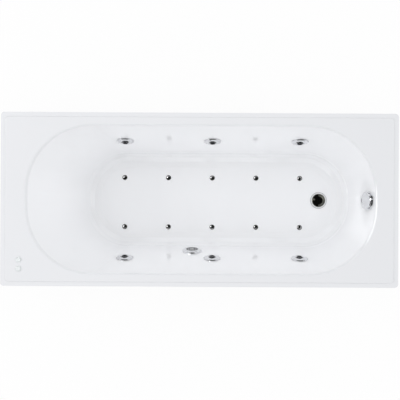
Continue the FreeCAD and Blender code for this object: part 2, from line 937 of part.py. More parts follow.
def make_suction():
    wall = size.shell_wall
    front = -wall - size.seal_thickness
    back = front - size.jet_flange_thickness
    barrel = size.suction_barrel_radius
    deep = size.suction_barrel_depth
    flange = size.suction_cover_radius - 4
    ring_top = 3
    blank = turned("suction_barrel", [(0, -deep), (barrel, -deep), (barrel, back), (flange, back),
                                      (flange, front), (barrel, front), (barrel, ring_top), (0, ring_top)])
    bore = size.suction_pipe_radius + size.glue_gap
    outer = rod("suction_elbow", bore + 3, 78, spot(-48, 0, -deep, (0, 1, 0), 90))
    tools = [rod("suction_elbow_bore", bore, 73, spot(-49, 0, -deep, (0, 1, 0), 90)),
             rod("suction_bore", barrel - 4, deep + 4, spot(z=-deep))]
    publish(cut("suction_body", joined("suction_blank", [blank, outer]), tools), "suction_body",
            suction_place())
    seal = turned("suction_seal", ring_section(barrel + size.glue_gap, flange, front, -wall))
    seal.Placement = suction_place()
    seals.append(seal)
    edge = size.suction_cover_radius
    top = size.suction_cover_height
    cover = turned("suction_cover", [
        (0, top - 3), (edge - 14, top - 3), (barrel + 1.5, ring_top + 1), (barrel + 1.5, 0), (edge, 0),
        (edge, 3), (edge - 5, top - 3), (edge - 13, top), (8, top), (6.5, top - 1), (0, top - 1)])
    radius = size.suction_hole_radius
    inner_holes = pocket(cover, circles(cover, "XY_Plane", [(size.suction_hole_circle - 6, 0, radius)],
                                        top + 1), 8)
    polar(cover, inner_holes, 10)
    outer_holes = pocket(cover, circles(cover, "XY_Plane", [(size.suction_hole_circle + 3, 0, radius)],
                                        top + 1), 8)
    polar(cover, outer_holes, 18)
    publish(cover, "suction_cover", suction_place())


def make_suction_pipe():
    start = suction_place().multVec(vector(-30, 0, -float(size.suction_barrel_depth)))
    neck = float(size.pump_front) + 30
    low = float(pump_axis_z())
    outside = neck + 60
    points = [
        (start.x, start.y, start.z),
        (-480, start.y, start.z),
        (-570, -outside, low),
        (-float(size.pump_x), -outside, low),
        (-float(size.pump_x), -neck, low),
    ]
    shape = tube_shape(points, size.suction_pipe_radius, size.suction_pipe_wall, 42)
    publish(solid_feature("suction_pipe", shape), "suction_pipe")


def make_pump():
    """Wet end, finned motor housing, stator, cowl and the turning parts, all about one axis."""
    place = pump_place()
    outer = size.volute_radius
    width = size.volute_width
    wall = size.casing_wall
    neck = size.suction_pipe_radius + 5
    neck_bore = size.suction_pipe_radius - size.suction_pipe_wall
    shaft_hole = size.shaft_radius + size.running_gap
    blank = turned("volute_blank", [(0, -30), (neck, -30), (neck, 0), (outer - 6, 0), (outer, 6),
                                    (outer, width - 4), (outer - 4, width), (0, width)])
    discharge_x = size.pump_x - size.loop_x
    discharge_top = 60 + outer
    spout = rod("volute_spout", size.water_pipe_radius + 6, discharge_top,
                spot(discharge_x, 0, width / 2, (1, 0, 0), 90))
    chamber = turned("volute_chamber", [(0, -31), (neck_bore, -31), (neck_bore, wall), (outer - wall, wall),
                                        (outer - wall, width - wall), (shaft_hole, width - wall),
                                        (shaft_hole, width + 1), (0, width + 1)])
    spout_bore = rod("volute_spout_bore", size.water_pipe_radius - size.water_pipe_wall, discharge_top + 1,
                     spot(discharge_x, 0, width / 2, (1, 0, 0), 90))
    volute = cut("pump_volute", joined("volute_solid", [blank, spout]), [chamber, spout_bore])
    publish(volute, "pump_volute", place)

    start = wall + 3
    impeller = turned("pump_impeller", ring_section(size.shaft_radius + size.glue_gap,
                                                    size.impeller_radius, start + size.impeller_width,
                                                    start + size.impeller_width + 3))
    hub_end = start + size.impeller_width + 3
    revolve(impeller, ring_section(size.shaft_radius + size.glue_gap, 16, start, hub_end))
    blade = pad(impeller, polygon(impeller, "XY_Plane", [(14, -6), (size.impeller_radius - 1, 10),
                                                         (size.impeller_radius - 1, 14), (14, -2)],
                                  start), size.impeller_width + 1)
    polar(impeller, blade, size.impeller_blades)
    publish(impeller, "pump_impeller", place)

    radius = size.motor_radius
    back = width + size.motor_length
    motor = turned("pump_motor", [(0, width), (radius, width), (radius, width + 8), (radius - 4, width + 10),
                                  (radius - 4, back - 10), (radius, back - 8), (radius, back), (0, back)])
    fin = pad(motor, polygon(motor, "XY_Plane", [(radius - 6, -1.2), (radius, -1.2), (radius, 1.2),
                                                 (radius - 6, 1.2)], width + 8), size.motor_length - 16)
    polar(motor, fin, size.motor_fins)
    inside = radius - 4 - size.motor_wall
    groove(motor, [(0, width - 1), (shaft_hole, width - 1), (shaft_hole, width + 10), (inside, width + 10),
                   (inside, back - 10), (shaft_hole, back - 10), (shaft_hole, back + 1), (0, back + 1)])
    publish(motor, "pump_motor", place)

    shaft = size.shaft_radius
    rotor = size.rotor_radius
    core_low = width + 40
    core_high = back - 40
    turned_shaft = turned("pump_shaft", [
        (0, start), (shaft, start), (shaft, core_low), (rotor, core_low), (rotor, core_high),
        (shaft, core_high), (shaft, back + size.cowl_length - 14), (0, back + size.cowl_length - 14)])
    publish(turned_shaft, "pump_shaft", place)

    fan_low = back + 6
    fan_high = back + size.cowl_length - 16
    fan_radius = radius - 16
    fan = turned("cooling_fan", ring_section(shaft + size.glue_gap, 20, fan_low, fan_high))
    revolve(fan, ring_section(shaft + size.glue_gap, fan_radius, fan_low, fan_low + 3))
    blade = pad(fan, polygon(fan, "XY_Plane", [(18, -1.2), (fan_radius, -1.2), (fan_radius, 1.2), (18, 1.2)],
                             fan_low + 2), size.cowl_length - 26)
    polar(fan, blade, size.fan_blades)
    publish(fan, "cooling_fan", place)

    end = back + size.cowl_length
    cowl = turned("fan_cowl", [(radius - 5, back), (radius - 2, back), (radius - 2, end - 8),
                               (radius - 10, end), (0, end), (0, end - 3), (radius - 11, end - 3),
                               (radius - 5, end - 9)])
    slot = pocket(cowl, polygon(cowl, "XY_Plane", [(16, -2.5), (radius - 16, -2.5), (radius - 16, 2.5),
                                                   (16, 2.5)], end + 1), 6)
    polar(cowl, slot, 12)
    publish(cowl, "fan_cowl", place)


def make_pump_foot():
    """Moulded cradle between the tray and the motor."""
    low = tray_top()
    x = -size.pump_x
    front = -size.pump_front + size.volute_width + 50
    block = box("pump_foot_block", (x - 55, front, low), (x + 55, front + 60, pump_axis_z() - 30))
    hollow = rod("pump_foot_cradle", size.motor_radius + size.seat_gap, 62,
                 spot(x, front - 1, pump_axis_z(), (1, 0, 0), -90))
    arch = box("pump_foot_arch", (x - 25, front - 1, low - 1), (x + 25, front + 61, low + 6))
    publish(cut("pump_foot", block, [hollow, arch]), "pump_foot")


def make_terminal_box():
    """Wiring box on the side of the motor."""
    x = -size.pump_x - size.motor_radius
    y = -size.pump_front + size.volute_width + 60
    middle = pump_axis_z()
    base = box("terminal_box_block", (x - 20, y, middle - 20), (x + 12, y + 60, middle + 40))
    hollow = rod("terminal_box_seat", size.motor_radius + size.seat_gap, 62,
                 spot(-size.pump_x, y - 1, middle, (1, 0, 0), -90))
    publish(cut("motor_terminal_box", base, [hollow]), "motor_terminal_box")


def make_water_loop():
    """Pipe from the pump's spout that feeds the jets of both long sides round the head end."""
    places = jet_places()
    rear = behind_wall(places[0], size.jet_barrel_depth)
    front = behind_wall(places[3], size.jet_barrel_depth)
    overlap = float(size.jet_tee_half) - 20
    loop_x = -float(size.loop_x)
    outer = float(size.water_pipe_radius)
    inner = outer - float(size.water_pipe_wall)
    points = [(rear.x - overlap, rear.y, rear.z), (loop_x, rear.y, rear.z),
              (loop_x, front.y, front.z), (front.x - overlap, front.y, front.z)]
    place = pump_place()
    y = place.Base.y + float(size.volute_width) / 2
    spout_top = float(pump_axis_z()) + 60 + float(size.volute_radius)
    up = vector(0, 0, 1)
    foot = vector(loop_x, y, spout_top)
    rise = rear.z - spout_top
    solid = tube_shape(points, outer, 0, size.loop_bend).fuse(Part.makeCylinder(outer, rise, foot, up))
    bore = tube_shape(points, inner, 0, size.loop_bend).fuse(Part.makeCylinder(inner, rise, foot, up))
    publish(solid_feature("water_loop", solid.cut(bore).removeSplitter()), "water_loop")
    union_low = spout_top - 14
    ring = turned("discharge_union", [
        (size.water_pipe_radius + 6 + size.glue_gap, 0), (size.water_pipe_radius + 11, 0),
        (size.water_pipe_radius + 11, 19), (size.water_pipe_radius + size.glue_gap, 19),
        (size.water_pipe_radius + size.glue_gap, 14 + size.glue_gap),
        (size.water_pipe_radius + 6 + size.glue_gap, 14 + size.glue_gap)])
    ring.Placement = spot(loop_x, y, union_low)
    neck = size.suction_pipe_radius + 5 + size.glue_gap
    collar = turned("suction_union", [
        (size.suction_pipe_radius + size.glue_gap, -46), (neck + 5, -46), (neck + 5, -12), (neck, -12),
        (neck, -30 - size.glue_gap), (size.suction_pipe_radius + size.glue_gap, -30 - size.glue_gap)])
    collar.Placement = place
    bundle("pump_unions", [ring, collar])


# ---------------------------------------------------------------- waste and overflow

def waste_place():
    return spot(size.waste_x, 0, floor_z())


def make_waste():
    place = waste_place()
    edge = size.waste_flange_radius
    top = size.waste_flange_height
    neck = size.waste_neck_radius
    seat = size.plug_radius + size.seat_gap * 2
    bottom = -size.waste_neck_length
    throat = neck - 2.5
    flange = turned("waste_flange", [
        (neck, bottom), (neck, 0), (edge, 0), (edge, top / 2), (edge - 3, top), (seat, top),
        (seat, 1), (throat, 1), (throat, bottom)])
    publish(flange, "waste_flange", place)

    # the plug's four guide fins slide in the flange's throat
    plug_low = 1 + size.seat_gap
    plug = turned("waste_plug", [
        (0, bottom - 14), (size.plug_stem_radius, bottom - 14), (size.plug_stem_radius, plug_low),
        (size.plug_radius, plug_low), (size.plug_radius, plug_low + 2.5),
        (size.plug_radius - 2, plug_low + 4), (size.plug_radius - 12, size.plug_height - 0.7),
        (0, size.plug_height)])
    fin_half = size.plug_fin_thickness / 2
    fin_reach = throat - size.seat_gap
    fin = pad(plug, polygon(plug, "XY_Plane", [(0, -fin_half), (fin_reach, -fin_half), (fin_reach, fin_half),
                                               (0, fin_half)], bottom + 3), plug_low - bottom - 2.5)
    polar(plug, fin, 4)
    publish(plug, "waste_plug", place)

    under = -size.shell_wall
    seal = turned("waste_seal", ring_section(neck + size.glue_gap, edge + 2,
                                             under - size.seal_thickness, under))
    seal.Placement = place
    seals.append(seal)

    low = under - size.seal_thickness
    body_low = low - size.waste_body_length
    outer = size.waste_body_radius
    dip = size.trap_outlet_radius - 2
    barrel = turned("waste_barrel", [
        (0, body_low - 35), (dip, body_low - 35), (dip, body_low), (outer, body_low), (outer, low - 6),
        (edge + 2, low - 6), (edge + 2, low), (0, low)])
    branch_z = -40
    branch = rod("overflow_branch", size.water_pipe_radius + size.glue_gap + 3, 66,
                 spot(0, 0, branch_z, (0, 1, 0), 90))
    boss = rod("cable_boss", size.cable_radius + 3, 44, spot(0, size.cable_offset, -22, (0, 1, 0), 90))
    bores = [
        turned("waste_bore", [(0, body_low - 36), (dip - 2.5, body_low - 36), (dip - 2.5, body_low + 2),
                              (outer - 5, body_low + 6), (outer - 5, bottom - 2),
                              (neck + size.glue_gap, bottom), (neck + size.glue_gap, low + 1), (0, low + 1)]),
        rod("branch_bore", size.water_pipe_radius + size.glue_gap, 68, spot(0, 0, branch_z, (0, 1, 0), 90)),
    ]
    publish(cut("waste_body", joined("waste_solid", [barrel, branch, boss]), bores), "waste_body", place)

    cup_top = body_low
    cup_low = cup_top - size.trap_height
    wall = 3
    cup = turned("trap_cup", [(0, cup_low), (size.trap_radius - 4, cup_low), (size.trap_radius, cup_low + 4),
                              (size.trap_radius, cup_top), (0, cup_top)])
    outlet_z = cup_top - size.trap_outlet_radius - 4
    outlet_spot = spot(0, 0, outlet_z, (0, 1, 0), 90)
    outlet = rod("trap_outlet", size.trap_outlet_radius, size.trap_outlet_reach, outlet_spot)
    collar = rod("trap_collar", size.trap_outlet_radius + 3, size.trap_collar_reach, outlet_spot)
    hollows = [
        turned("trap_hollow", [(0, cup_low + wall), (size.trap_radius - 5, cup_low + wall),
                               (size.trap_radius - wall, cup_low + wall + 2),
                               (size.trap_radius - wall, cup_top - wall),
                               (dip + size.glue_gap, cup_top - wall), (dip + size.glue_gap, cup_top + 1),
                               (0, cup_top + 1)]),
        rod("trap_outlet_bore", size.trap_outlet_radius - 2, size.trap_outlet_reach + 1, outlet_spot),
    ]
    publish(cut("trap", joined("trap_solid", [cup, outlet, collar]), hollows), "trap", place)


def overflow_axis_x():
    """The upright overflow pipe stands this far out along X."""
    return foot_wall_spot(size.overflow_depth).Base.x + float(size.overflow_setback)


def make_overflow():
    place = foot_wall_spot(size.overflow_depth)
    wall = size.shell_wall
    front = -wall - size.seal_thickness
    barrel = size.overflow_barrel_radius
    flange = barrel + 10
    blank = turned("overflow_barrel", [(0, -size.overflow_setback), (barrel, -size.overflow_setback),
                                       (barrel, front - 5), (flange, front - 5), (flange, front),
                                       (barrel, front), (barrel, 0), (0, 0)])
    blank.Placement = place
    centre = place.multVec(vector(0, 0, -float(size.overflow_setback)))
    x = overflow_axis_x()
    neck_low = centre.z - float(size.overflow_neck_length)
    neck_radius = size.water_pipe_radius + size.glue_gap + 3
    neck = rod("overflow_neck", neck_radius, size.overflow_neck_length + 18, spot(x, 0, neck_low))
    boss = rod("overflow_cable_boss", size.cable_radius + 3, 30, spot(x, size.cable_offset, centre.z - 38))
    bore = rod("overflow_bore", barrel - 4, size.overflow_setback + 1,
               place.multiply(spot(z=-size.overflow_setback)))
    neck_bore = rod("overflow_neck_bore", size.water_pipe_radius + size.glue_gap,
                    size.overflow_neck_length + 1, spot(x, 0, neck_low - 1))
    publish(cut("overflow_body", joined("overflow_solid", [blank, neck, boss]), [bore, neck_bore]),
            "overflow_body")
    seal = turned("overflow_seal", ring_section(barrel + size.glue_gap, flange, front, -wall))
    seal.Placement = place
    seals.append(seal)

    branch_z = float(floor_z()) - 40
    start_x = float(size.waste_x) + 66 - 20
    pipe = tube_shape([(x, 0, neck_low + 20), (x, 0, branch_z), (start_x, 0, branch_z)],
                      size.water_pipe_radius, size.water_pipe_wall, 45)
    publish(solid_feature("overflow_pipe", pipe), "overflow_pipe")
    offset = float(size.cable_offset)
    cable_z = float(floor_z()) - 22
    cable = tube_shape([(x, offset, centre.z - 38), (x, offset, cable_z),
                        (float(size.waste_x) + 44, offset, cable_z)], size.cable_radius, 0, 60)
    publish(solid_feature("plug_cable", cable), "plug_cable")


def knob_place():
    """On the rosette's sloping face: local Z is the knob's own axis."""
    tilt = spot(0, 0, size.rosette_rise, (0, 1, 0), size.rosette_tilt)
    return foot_wall_spot(size.overflow_depth).multiply(tilt)


def make_rosette():
    """Wedge with a round outline whose front slopes upward, slotted underneath for the water."""
    radius = size.rosette_radius
    tilt = spot(0, 0, size.rosette_rise, (0, 1, 0), size.rosette_tilt)
    round_bar = rod("rosette_round", radius, size.rosette_rise * 2 + 4, spot(z=size.seat_gap + 0.1))
    slope = rod("rosette_slope", radius * 2, radius * 2, tilt)
    intake = box("rosette_intake", (-radius - 1, -18, 2.5), (-size.spindle_radius - 6, 18, 11))
    throat = rod("rosette_throat", size.overflow_barrel_radius - 5, 11, spot(z=-1))
    spindle_hole = rod("rosette_spindle_hole", size.spindle_radius + size.running_gap, size.rosette_rise * 2,
                       tilt.multiply(spot(z=-size.rosette_rise - 2)))
    publish(cut("overflow_rosette", round_bar, [slope, intake, throat, spindle_hole]), "overflow_rosette",
            foot_wall_spot(size.overflow_depth))


def make_knob():
    gap = size.seat_gap + 0.1
    radius = size.knob_radius
    top = gap + size.knob_height
    knob = turned("overflow_knob", [
        (0, 2 - size.rosette_rise), (size.spindle_radius, 2 - size.rosette_rise), (size.spindle_radius, gap),
        (radius - 1, gap), (radius, gap + 1), (radius, top - 2.5), (radius - 2.5, top), (radius - 9, top),
        (radius - 11, top - 1.2), (0, top - 1.2)])
    grip = pocket(knob, circles(knob, "XY_Plane", [(radius + 4, 0, 6)], top + 1), size.knob_height + 2)
    polar(knob, grip, 6)
    publish(knob, "overflow_knob", knob_place())


# ---------------------------------------------------------------- floor air injectors

def make_injectors():
    cap = size.injector_cap_radius
    top = size.injector_cap_height
    stem = size.injector_stem_radius
    bottom = size.rail_pipe_z + 12 - floor_z()
    injector = turned("air_injector", [(0, bottom), (stem, bottom), (stem, 0), (cap, 0), (cap, 1.2),
                                       (cap - 2.5, top - 0.8), (cap - 7, top), (0, top)])
    groove(injector, [(0, bottom - 1), (stem - 2, bottom - 1), (stem - 2, -2), (0, -2)])
    vent = pocket(injector, circles(injector, "XY_Plane", [(3, 0, 0.8)], top + 1), top + 5)
    polar(injector, vent, 3)
    bundle("air_injectors", copies("air_injector", injector, injector_places(floor_z())))
    under = -size.shell_wall
    nut = hexagon_nut("injector_nut", stem + size.glue_gap, size.injector_nut_radius,
                      size.injector_nut_height)
    places = injector_places(floor_z() + under - size.injector_nut_height)
    clamp_nuts.extend(copies("injector_nut", nut, places))


def make_air_rails():
    """Two pipes under the floor with an upright socket for each injector, and their head-end header."""
    radius = size.rail_pipe_radius
    length = 4 * size.injector_spacing + size.header_x - size.injector_first_x + 20
    socket_bore = size.injector_stem_radius + size.glue_gap
    rails = []
    for y in (size.injector_rear_y, -size.injector_front_y):
        start = -size.header_x + size.header_radius - 4
        pipe = rod("air_rail_pipe", radius, length - size.header_radius + 4,
                   spot(start, y, size.rail_pipe_z, (0, 1, 0), 90))
        solids = [pipe]
        bores = [rod("air_rail_bore", radius - 2, length - size.header_radius + 1,
                     spot(start - 1, y, size.rail_pipe_z, (0, 1, 0), 90))]
        for step in range(5):
            x = step * size.injector_spacing - size.injector_first_x
            solids.append(rod("injector_socket", socket_bore + 2.5, 24, spot(x, y, size.rail_pipe_z)))
            bores.append(rod("injector_socket_bore", socket_bore, 13, spot(x, y, size.rail_pipe_z + 12)))
            bores.append(rod("injector_port", 4, 20, spot(x, y, size.rail_pipe_z)))
        rails.append(cut("air_rail", joined("air_rail_solid", solids), bores))
    low = -size.injector_front_y - 16
    span = size.injector_rear_y + size.injector_front_y + 32
    header_radius = size.header_radius
    barrel = rod("air_header_barrel", header_radius, span,
                 spot(-size.header_x, low, size.rail_pipe_z, (1, 0, 0), -90))
    inlet_y = 60
    inlet = rod("air_header_inlet", header_radius, 30, spot(-size.header_x - 30, inlet_y, size.rail_pipe_z,
                                                            (0, 1, 0), 90))
    solids = [barrel, inlet]
    bores = [rod("air_header_bore", header_radius - 2, span - 4,
                 spot(-size.header_x, low + 2, size.rail_pipe_z, (1, 0, 0), -90)),
             rod("air_header_inlet_bore", header_radius - 2, 31,
                 spot(-size.header_x - 31, inlet_y, size.rail_pipe_z, (0, 1, 0), 90))]
    for y in (size.injector_rear_y, -size.injector_front_y):
        solids.append(rod("air_header_socket", radius + size.glue_gap + 3, header_radius + 14,
                          spot(-size.header_x, y, size.rail_pipe_z, (0, 1, 0), 90)))
        bores.append(rod("air_header_socket_bore", radius + size.glue_gap, header_radius + 15,
                         spot(-size.header_x + 8, y, size.rail_pipe_z, (0, 1, 0), 90)))
    header = cut("air_header", joined("air_header_solid", solids), bores)
    bundle("air_manifold", rails + [header])
    outlet = blower_outlet()
    start_x = -float(size.header_x) - 30
    z = float(size.rail_pipe_z)
    hose = tube_shape([(start_x, inlet_y, z), (start_x - 42, inlet_y, z),
                       (start_x - 42, outlet.y, outlet.z), (outlet.x, outlet.y, outlet.z)],
                      size.header_radius, 2, 28)
    publish(solid_feature("air_hose", hose), "air_hose")


# ---------------------------------------------------------------- blower

def blower_place():
    return spot(-size.pump_x - 5, size.blower_y, tray_top())


def blower_outlet():
    place = blower_place()
    reach = float(size.blower_radius) + 15
    return place.multVec(vector(reach, -(float(size.blower_radius) - 20), float(size.blower_height) / 2))


def make_blower():
    place = blower_place()
    radius = size.blower_radius
    wall = size.blower_wall
    height = size.blower_height
    drum = turned("blower_drum", [(0, 0), (radius, 0), (radius, height), (0, height)])
    outlet_y = -(radius - 20)
    pipe = size.header_radius
    outlet = rod("blower_spout", pipe, radius + 15, spot(0, outlet_y, height / 2, (0, 1, 0), 90))
    hollow = turned("blower_chamber", [(0, wall), (radius - wall, wall), (radius - wall, height + 1),
                                       (0, height + 1)])
    outlet_bore = rod("blower_spout_bore", pipe - 2, radius + 16,
                      spot(0, outlet_y, height / 2, (0, 1, 0), 90))
    publish(cut("blower_housing", joined("blower_solid", [drum, outlet]), [hollow, outlet_bore]),
            "blower_housing", place)

    can = size.blower_motor_radius
    lid_top = height + wall
    can_top = lid_top + size.blower_motor_height
    hole = size.shaft_radius - 2 + size.running_gap
    lid = turned("blower_lid", [
        (hole, height), (radius, height), (radius, lid_top), (can, lid_top), (can, can_top - 4),
        (can - 4, can_top), (0, can_top), (0, can_top - 12), (hole, can_top - 12)])
    vent = pocket(lid, polygon(lid, "XY_Plane", [(can + 8, -4), (radius - 8, -4), (radius - 8, 4),
                                                 (can + 8, 4)], lid_top + 1), wall + 2)
    polar(lid, vent, 10)
    publish(lid, "blower_lid", place)

    shaft = size.shaft_radius - 2
    fan_radius = radius - wall - 8
    fan_low = wall + 5
    fan = turned("blower_fan", [(0, fan_low), (fan_radius, fan_low), (fan_radius, fan_low + 3),
                                (14, fan_low + 3), (14, fan_low + 20), (shaft, fan_low + 20),
                                (shaft, can_top - 14), (0, can_top - 14)])
    blade_tip = fan_radius - 0.5
    blade_root = fan_radius - 20
    blade = pad(fan, polygon(fan, "XY_Plane", [(blade_root, -6), (blade_tip, 2), (blade_tip, 4.5),
                                               (blade_root, -3.5)], fan_low + 2), height - wall - 16)
    polar(fan, blade, size.blower_blades)
    publish(fan, "blower_fan", place)


# ---------------------------------------------------------------- controls

def make_buttons():
    flange = size.button_flange_radius
    barrel = size.button_barrel_radius
    recess = size.button_cap_radius + size.seat_gap
    stem = size.button_cap_radius - 5.5
    floor_of_recess = -size.button_travel - 3
    bottom = -45
    frame = turned("button_frame", [
        (1.5, bottom - 10), (3.5, bottom - 10), (3.5, bottom), (barrel, bottom), (barrel, 0), (flange, 0),
        (flange, 1.2), (flange - 1, 2), (recess, 2), (recess, floor_of_recess),
        (stem + size.running_gap, floor_of_recess), (stem + size.running_gap, -32), (1.5, -32)])
    bundle("button_frames", copies("button_frame", frame, button_places(size.rim_height)))
    under = -size.shell_wall - size.deck_step
    nut = hexagon_nut("button_nut", barrel + size.glue_gap, barrel + 7, 8)
    clamp_nuts.extend(copies("button_nut", nut, button_places(size.rim_height + under - 8)))
    places = button_places(size.rim_height)
    for label, place in zip(("jet_button", "bubble_button"), places):
        cap = turned(label, [(0, -22), (stem, -22), (stem, -2.5), (size.button_cap_radius, -2.5),
                             (size.button_cap_radius, 2.6), (size.button_cap_radius - 1.2, 3.8),
                             (size.button_cap_radius - 4, 4.2), (0, 3.6)])
        publish(cap, label, place)


def box_low():
    return size.rim_height - size.deck_step - size.shell_wall - size.box_drop - size.box_height


def make_control_box():
    low = box_low()
    half = size.box_depth / 2
    length = size.box_half_length
    high = low + size.box_height
    case = new_body("control_box_case")
    outline = polygon(case, "XY_Plane", [(-half, -length), (half, -length), (half, length), (-half, length)])
    pad(case, outline, size.box_height)
    lid_line = pocket(case, polygon(case, "XY_Plane", [
        (half - 2, -length + 8), (half + 1, -length + 8), (half + 1, length - 8), (half - 2, length - 8)],
        size.box_height - 8), size.box_height - 16)
    case.Tip = lid_line
    case.Placement = spot(-size.box_x, 0, low)
    gland = turned("cable_gland", [(0, -24), (8, -24), (10, -18), (10, -8), (12, -8), (12, 2), (0, 2)])
    gland.Placement = spot(-size.box_x, length, low + 30, (1, 0, 0), 90)
    bore = rod("gland_bore", 4, 40, spot(-size.box_x, length + 25, low + 30, (1, 0, 0), 90))
    publish(cut("control_box", joined("control_box_solid", [case, gland]), [bore]), "control_box")
    top = size.rim_height - size.deck_step - size.shell_wall
    hanger_half = length - 30
    block = box("box_hanger_block", (-size.box_x - half, -hanger_half, high),
                (-size.box_x + half, hanger_half, top))
    window = box("box_hanger_window", (-size.box_x - half - 1, -hanger_half + 3, high + 3),
                 (-size.box_x + half + 1, hanger_half - 3, top - 3))
    publish(cut("box_hanger", block, [window]), "box_hanger")


def make_button_tubes():
    """Air tubes from the deck buttons to the end face of the control box."""
    tubes = []
    end_y = -float(size.box_half_length)
    for place, level in zip(button_places(size.rim_height), (35, 70)):
        x = place.Base.x
        z = float(box_low() + size.box_height) - level
        tubes.append(solid_feature("button_tube", tube_shape(
            [(x, place.Base.y, place.Base.z - 55), (x, place.Base.y, z), (x, end_y, z)],
            3.5, 1.5, 25)))
    bundle("button_tubes", tubes)


def make_motor_leads():
    """Short leads from the control box to the pump's wiring box and to the blower."""
    low = float(box_low())
    motor_x = -float(size.pump_x) - float(size.motor_radius) - 8
    motor_y = -float(size.pump_front) + float(size.volute_width) + 90
    pump_lead = tube_shape([(motor_x, motor_y, low), (motor_x, motor_y, float(pump_axis_z()) + 40)],
                           4, 0, 1)
    place = blower_place()
    can_top = float(size.blower_height + size.blower_wall + size.blower_motor_height)
    end = place.multVec(vector(-30, 0, can_top))
    start_y = float(size.box_half_length) - 50
    start_x = 10 - float(size.box_x)
    level = low - 60
    blower_lead = tube_shape([(start_x, start_y, low), (start_x, start_y, level),
                              (end.x, end.y, level), (end.x, end.y, end.z)], 4, 0, 24)
    bundle("motor_leads", [solid_feature("pump_lead", pump_lead), solid_feature("blower_lead", blower_lead)])


# ---------------------------------------------------------------- build, check, export

def check_document():
    doc.recompute()
    for thing in doc.Objects:
        if "Invalid" in thing.State or "Error" in thing.State:
            raise ValueError(f"{thing.Label} failed: {thing.State}")
    for thing in sub_parts:
        shape = thing.Shape
        if shape.isNull() or not shape.isValid() or not shape.Solids:
            raise ValueError(f"{thing.Label} has no sound shape")


def export_parts():
    os.makedirs("parts", exist_ok=True)
    for thing in sub_parts:
        thing.Shape.exportStep(f"parts/{thing.Label}.step")


def main():
    fill_sheet()
    make_shell()
    make_board()
    make_frame()
    make_tray()
    make_feet()
    make_jets()
    make_jet_pipes()
    make_suction()
    make_suction_pipe()
    make_pump()
    make_pump_foot()
    make_terminal_box()
    make_water_loop()
    make_waste()
    make_overflow()
    make_rosette()
    make_knob()
    make_injectors()
    make_air_rails()
    make_blower()
    make_buttons()
    make_control_box()
    make_button_tubes()
    make_motor_leads()
    bundle("seals", seals)
    bundle("clamp_nuts", clamp_nuts)
    check_document()
    export_parts()
    print(len(sub_parts), "sub-parts")


main()
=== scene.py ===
import json
import math

import bmesh
import bpy
from mathutils import Matrix, Vector


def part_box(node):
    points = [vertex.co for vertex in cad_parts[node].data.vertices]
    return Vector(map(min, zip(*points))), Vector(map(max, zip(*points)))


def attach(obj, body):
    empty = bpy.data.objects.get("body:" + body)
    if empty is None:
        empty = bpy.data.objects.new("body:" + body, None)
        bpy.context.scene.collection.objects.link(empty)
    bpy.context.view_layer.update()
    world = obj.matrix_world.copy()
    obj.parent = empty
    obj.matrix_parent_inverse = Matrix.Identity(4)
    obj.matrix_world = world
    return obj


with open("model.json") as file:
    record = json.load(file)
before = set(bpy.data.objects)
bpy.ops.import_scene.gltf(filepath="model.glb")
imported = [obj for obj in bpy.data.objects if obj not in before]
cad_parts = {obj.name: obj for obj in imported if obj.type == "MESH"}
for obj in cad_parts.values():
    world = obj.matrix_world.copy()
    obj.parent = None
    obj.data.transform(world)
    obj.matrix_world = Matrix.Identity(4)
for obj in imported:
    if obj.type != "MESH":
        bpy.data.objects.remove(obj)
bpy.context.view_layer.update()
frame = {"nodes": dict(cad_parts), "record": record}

# A jetted bath: the finishes of its parts, its small fittings, the camera and the studio.
# +X runs to the foot end with the waste, +Y to the rear long side, +Z up. Lengths are in metres.


def middle(node):
    """The middle of a node's box."""
    return [(low + high) / 2 for low, high in zip(*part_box(node))]


# ---------------------------------------------------------------- places

RIM_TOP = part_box("bath_shell")[1][2]
LIP_BOTTOM = RIM_TOP - 0.042
# the inside of a long wall: half the floor's width, and how far the wall spreads on its way up
BASIN_DEPTH = 0.410
FLOOR_Z = RIM_TOP - BASIN_DEPTH
FLOOR_HALF_WIDTH = 0.199
WALL_SPREAD = 0.100
PUMP_X, MOTOR_MIDDLE_Y, PUMP_Z = middle("pump_motor")
MOTOR_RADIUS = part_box("pump_motor")[1][0] - PUMP_X
MOTOR_BACK_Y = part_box("pump_motor")[1][1]
VOLUTE_BACK_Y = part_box("pump_volute")[1][1]
VOLUTE_BOLT_CIRCLE = 0.075
DISCHARGE_X = -0.645
DISCHARGE_Y = -0.194
BLOWER_X, BLOWER_Y, _ = middle("blower_lid")
BLOWER_SCREW_CIRCLE = 0.073
BLOWER_CAN_RADIUS = 0.046
WASTE_X = middle("waste_flange")[0]
BAR_SIDE = 0.030
RAIL_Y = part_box("base_frame")[1][1] - BAR_SIDE / 2
CROSSBARS = (-0.400, -0.040, 0.360)
BOARD_SCREW_Y = 0.055
MIDDLE_FOOT_X = -0.130
CLIP_PLACES = (-0.1325, 0.2425)
PUMP_LEAD_X = -0.736
TIE_DROPS = (0.030, 0.080)

# ---------------------------------------------------------------- sizes of the small fittings

BOLT_RADIUS = 0.0045
BOLT_HEIGHT = 0.005
CASE_SCREW = 0.0035
WIRING_SCREW = 0.003
FRAME_SCREW = 0.0045
GRILLE_SCREW = 0.0042
ROD_RADIUS = 0.006
THREAD_PITCH = 0.00175
THREAD_CREST = 0.0005
THREAD_ROOT = 0.0003
THREAD_MARGIN = 0.002
BEAD_RADIUS = 0.0025
BEAD_LENGTH = 0.026
AIR_HOSE_RADIUS = 0.016
WATER_PIPE_RADIUS = 0.016
INJECTOR_CAP = 0.0115
INJECTOR_DOME = 0.0248

# ---------------------------------------------------------------- light

CAMERA_PLACE = (0.002, -0.0008, RIM_TOP + 2.8)
CAMERA_ROLL = 0.31
LENS = 62.75
SENSOR_WIDTH = 36.0
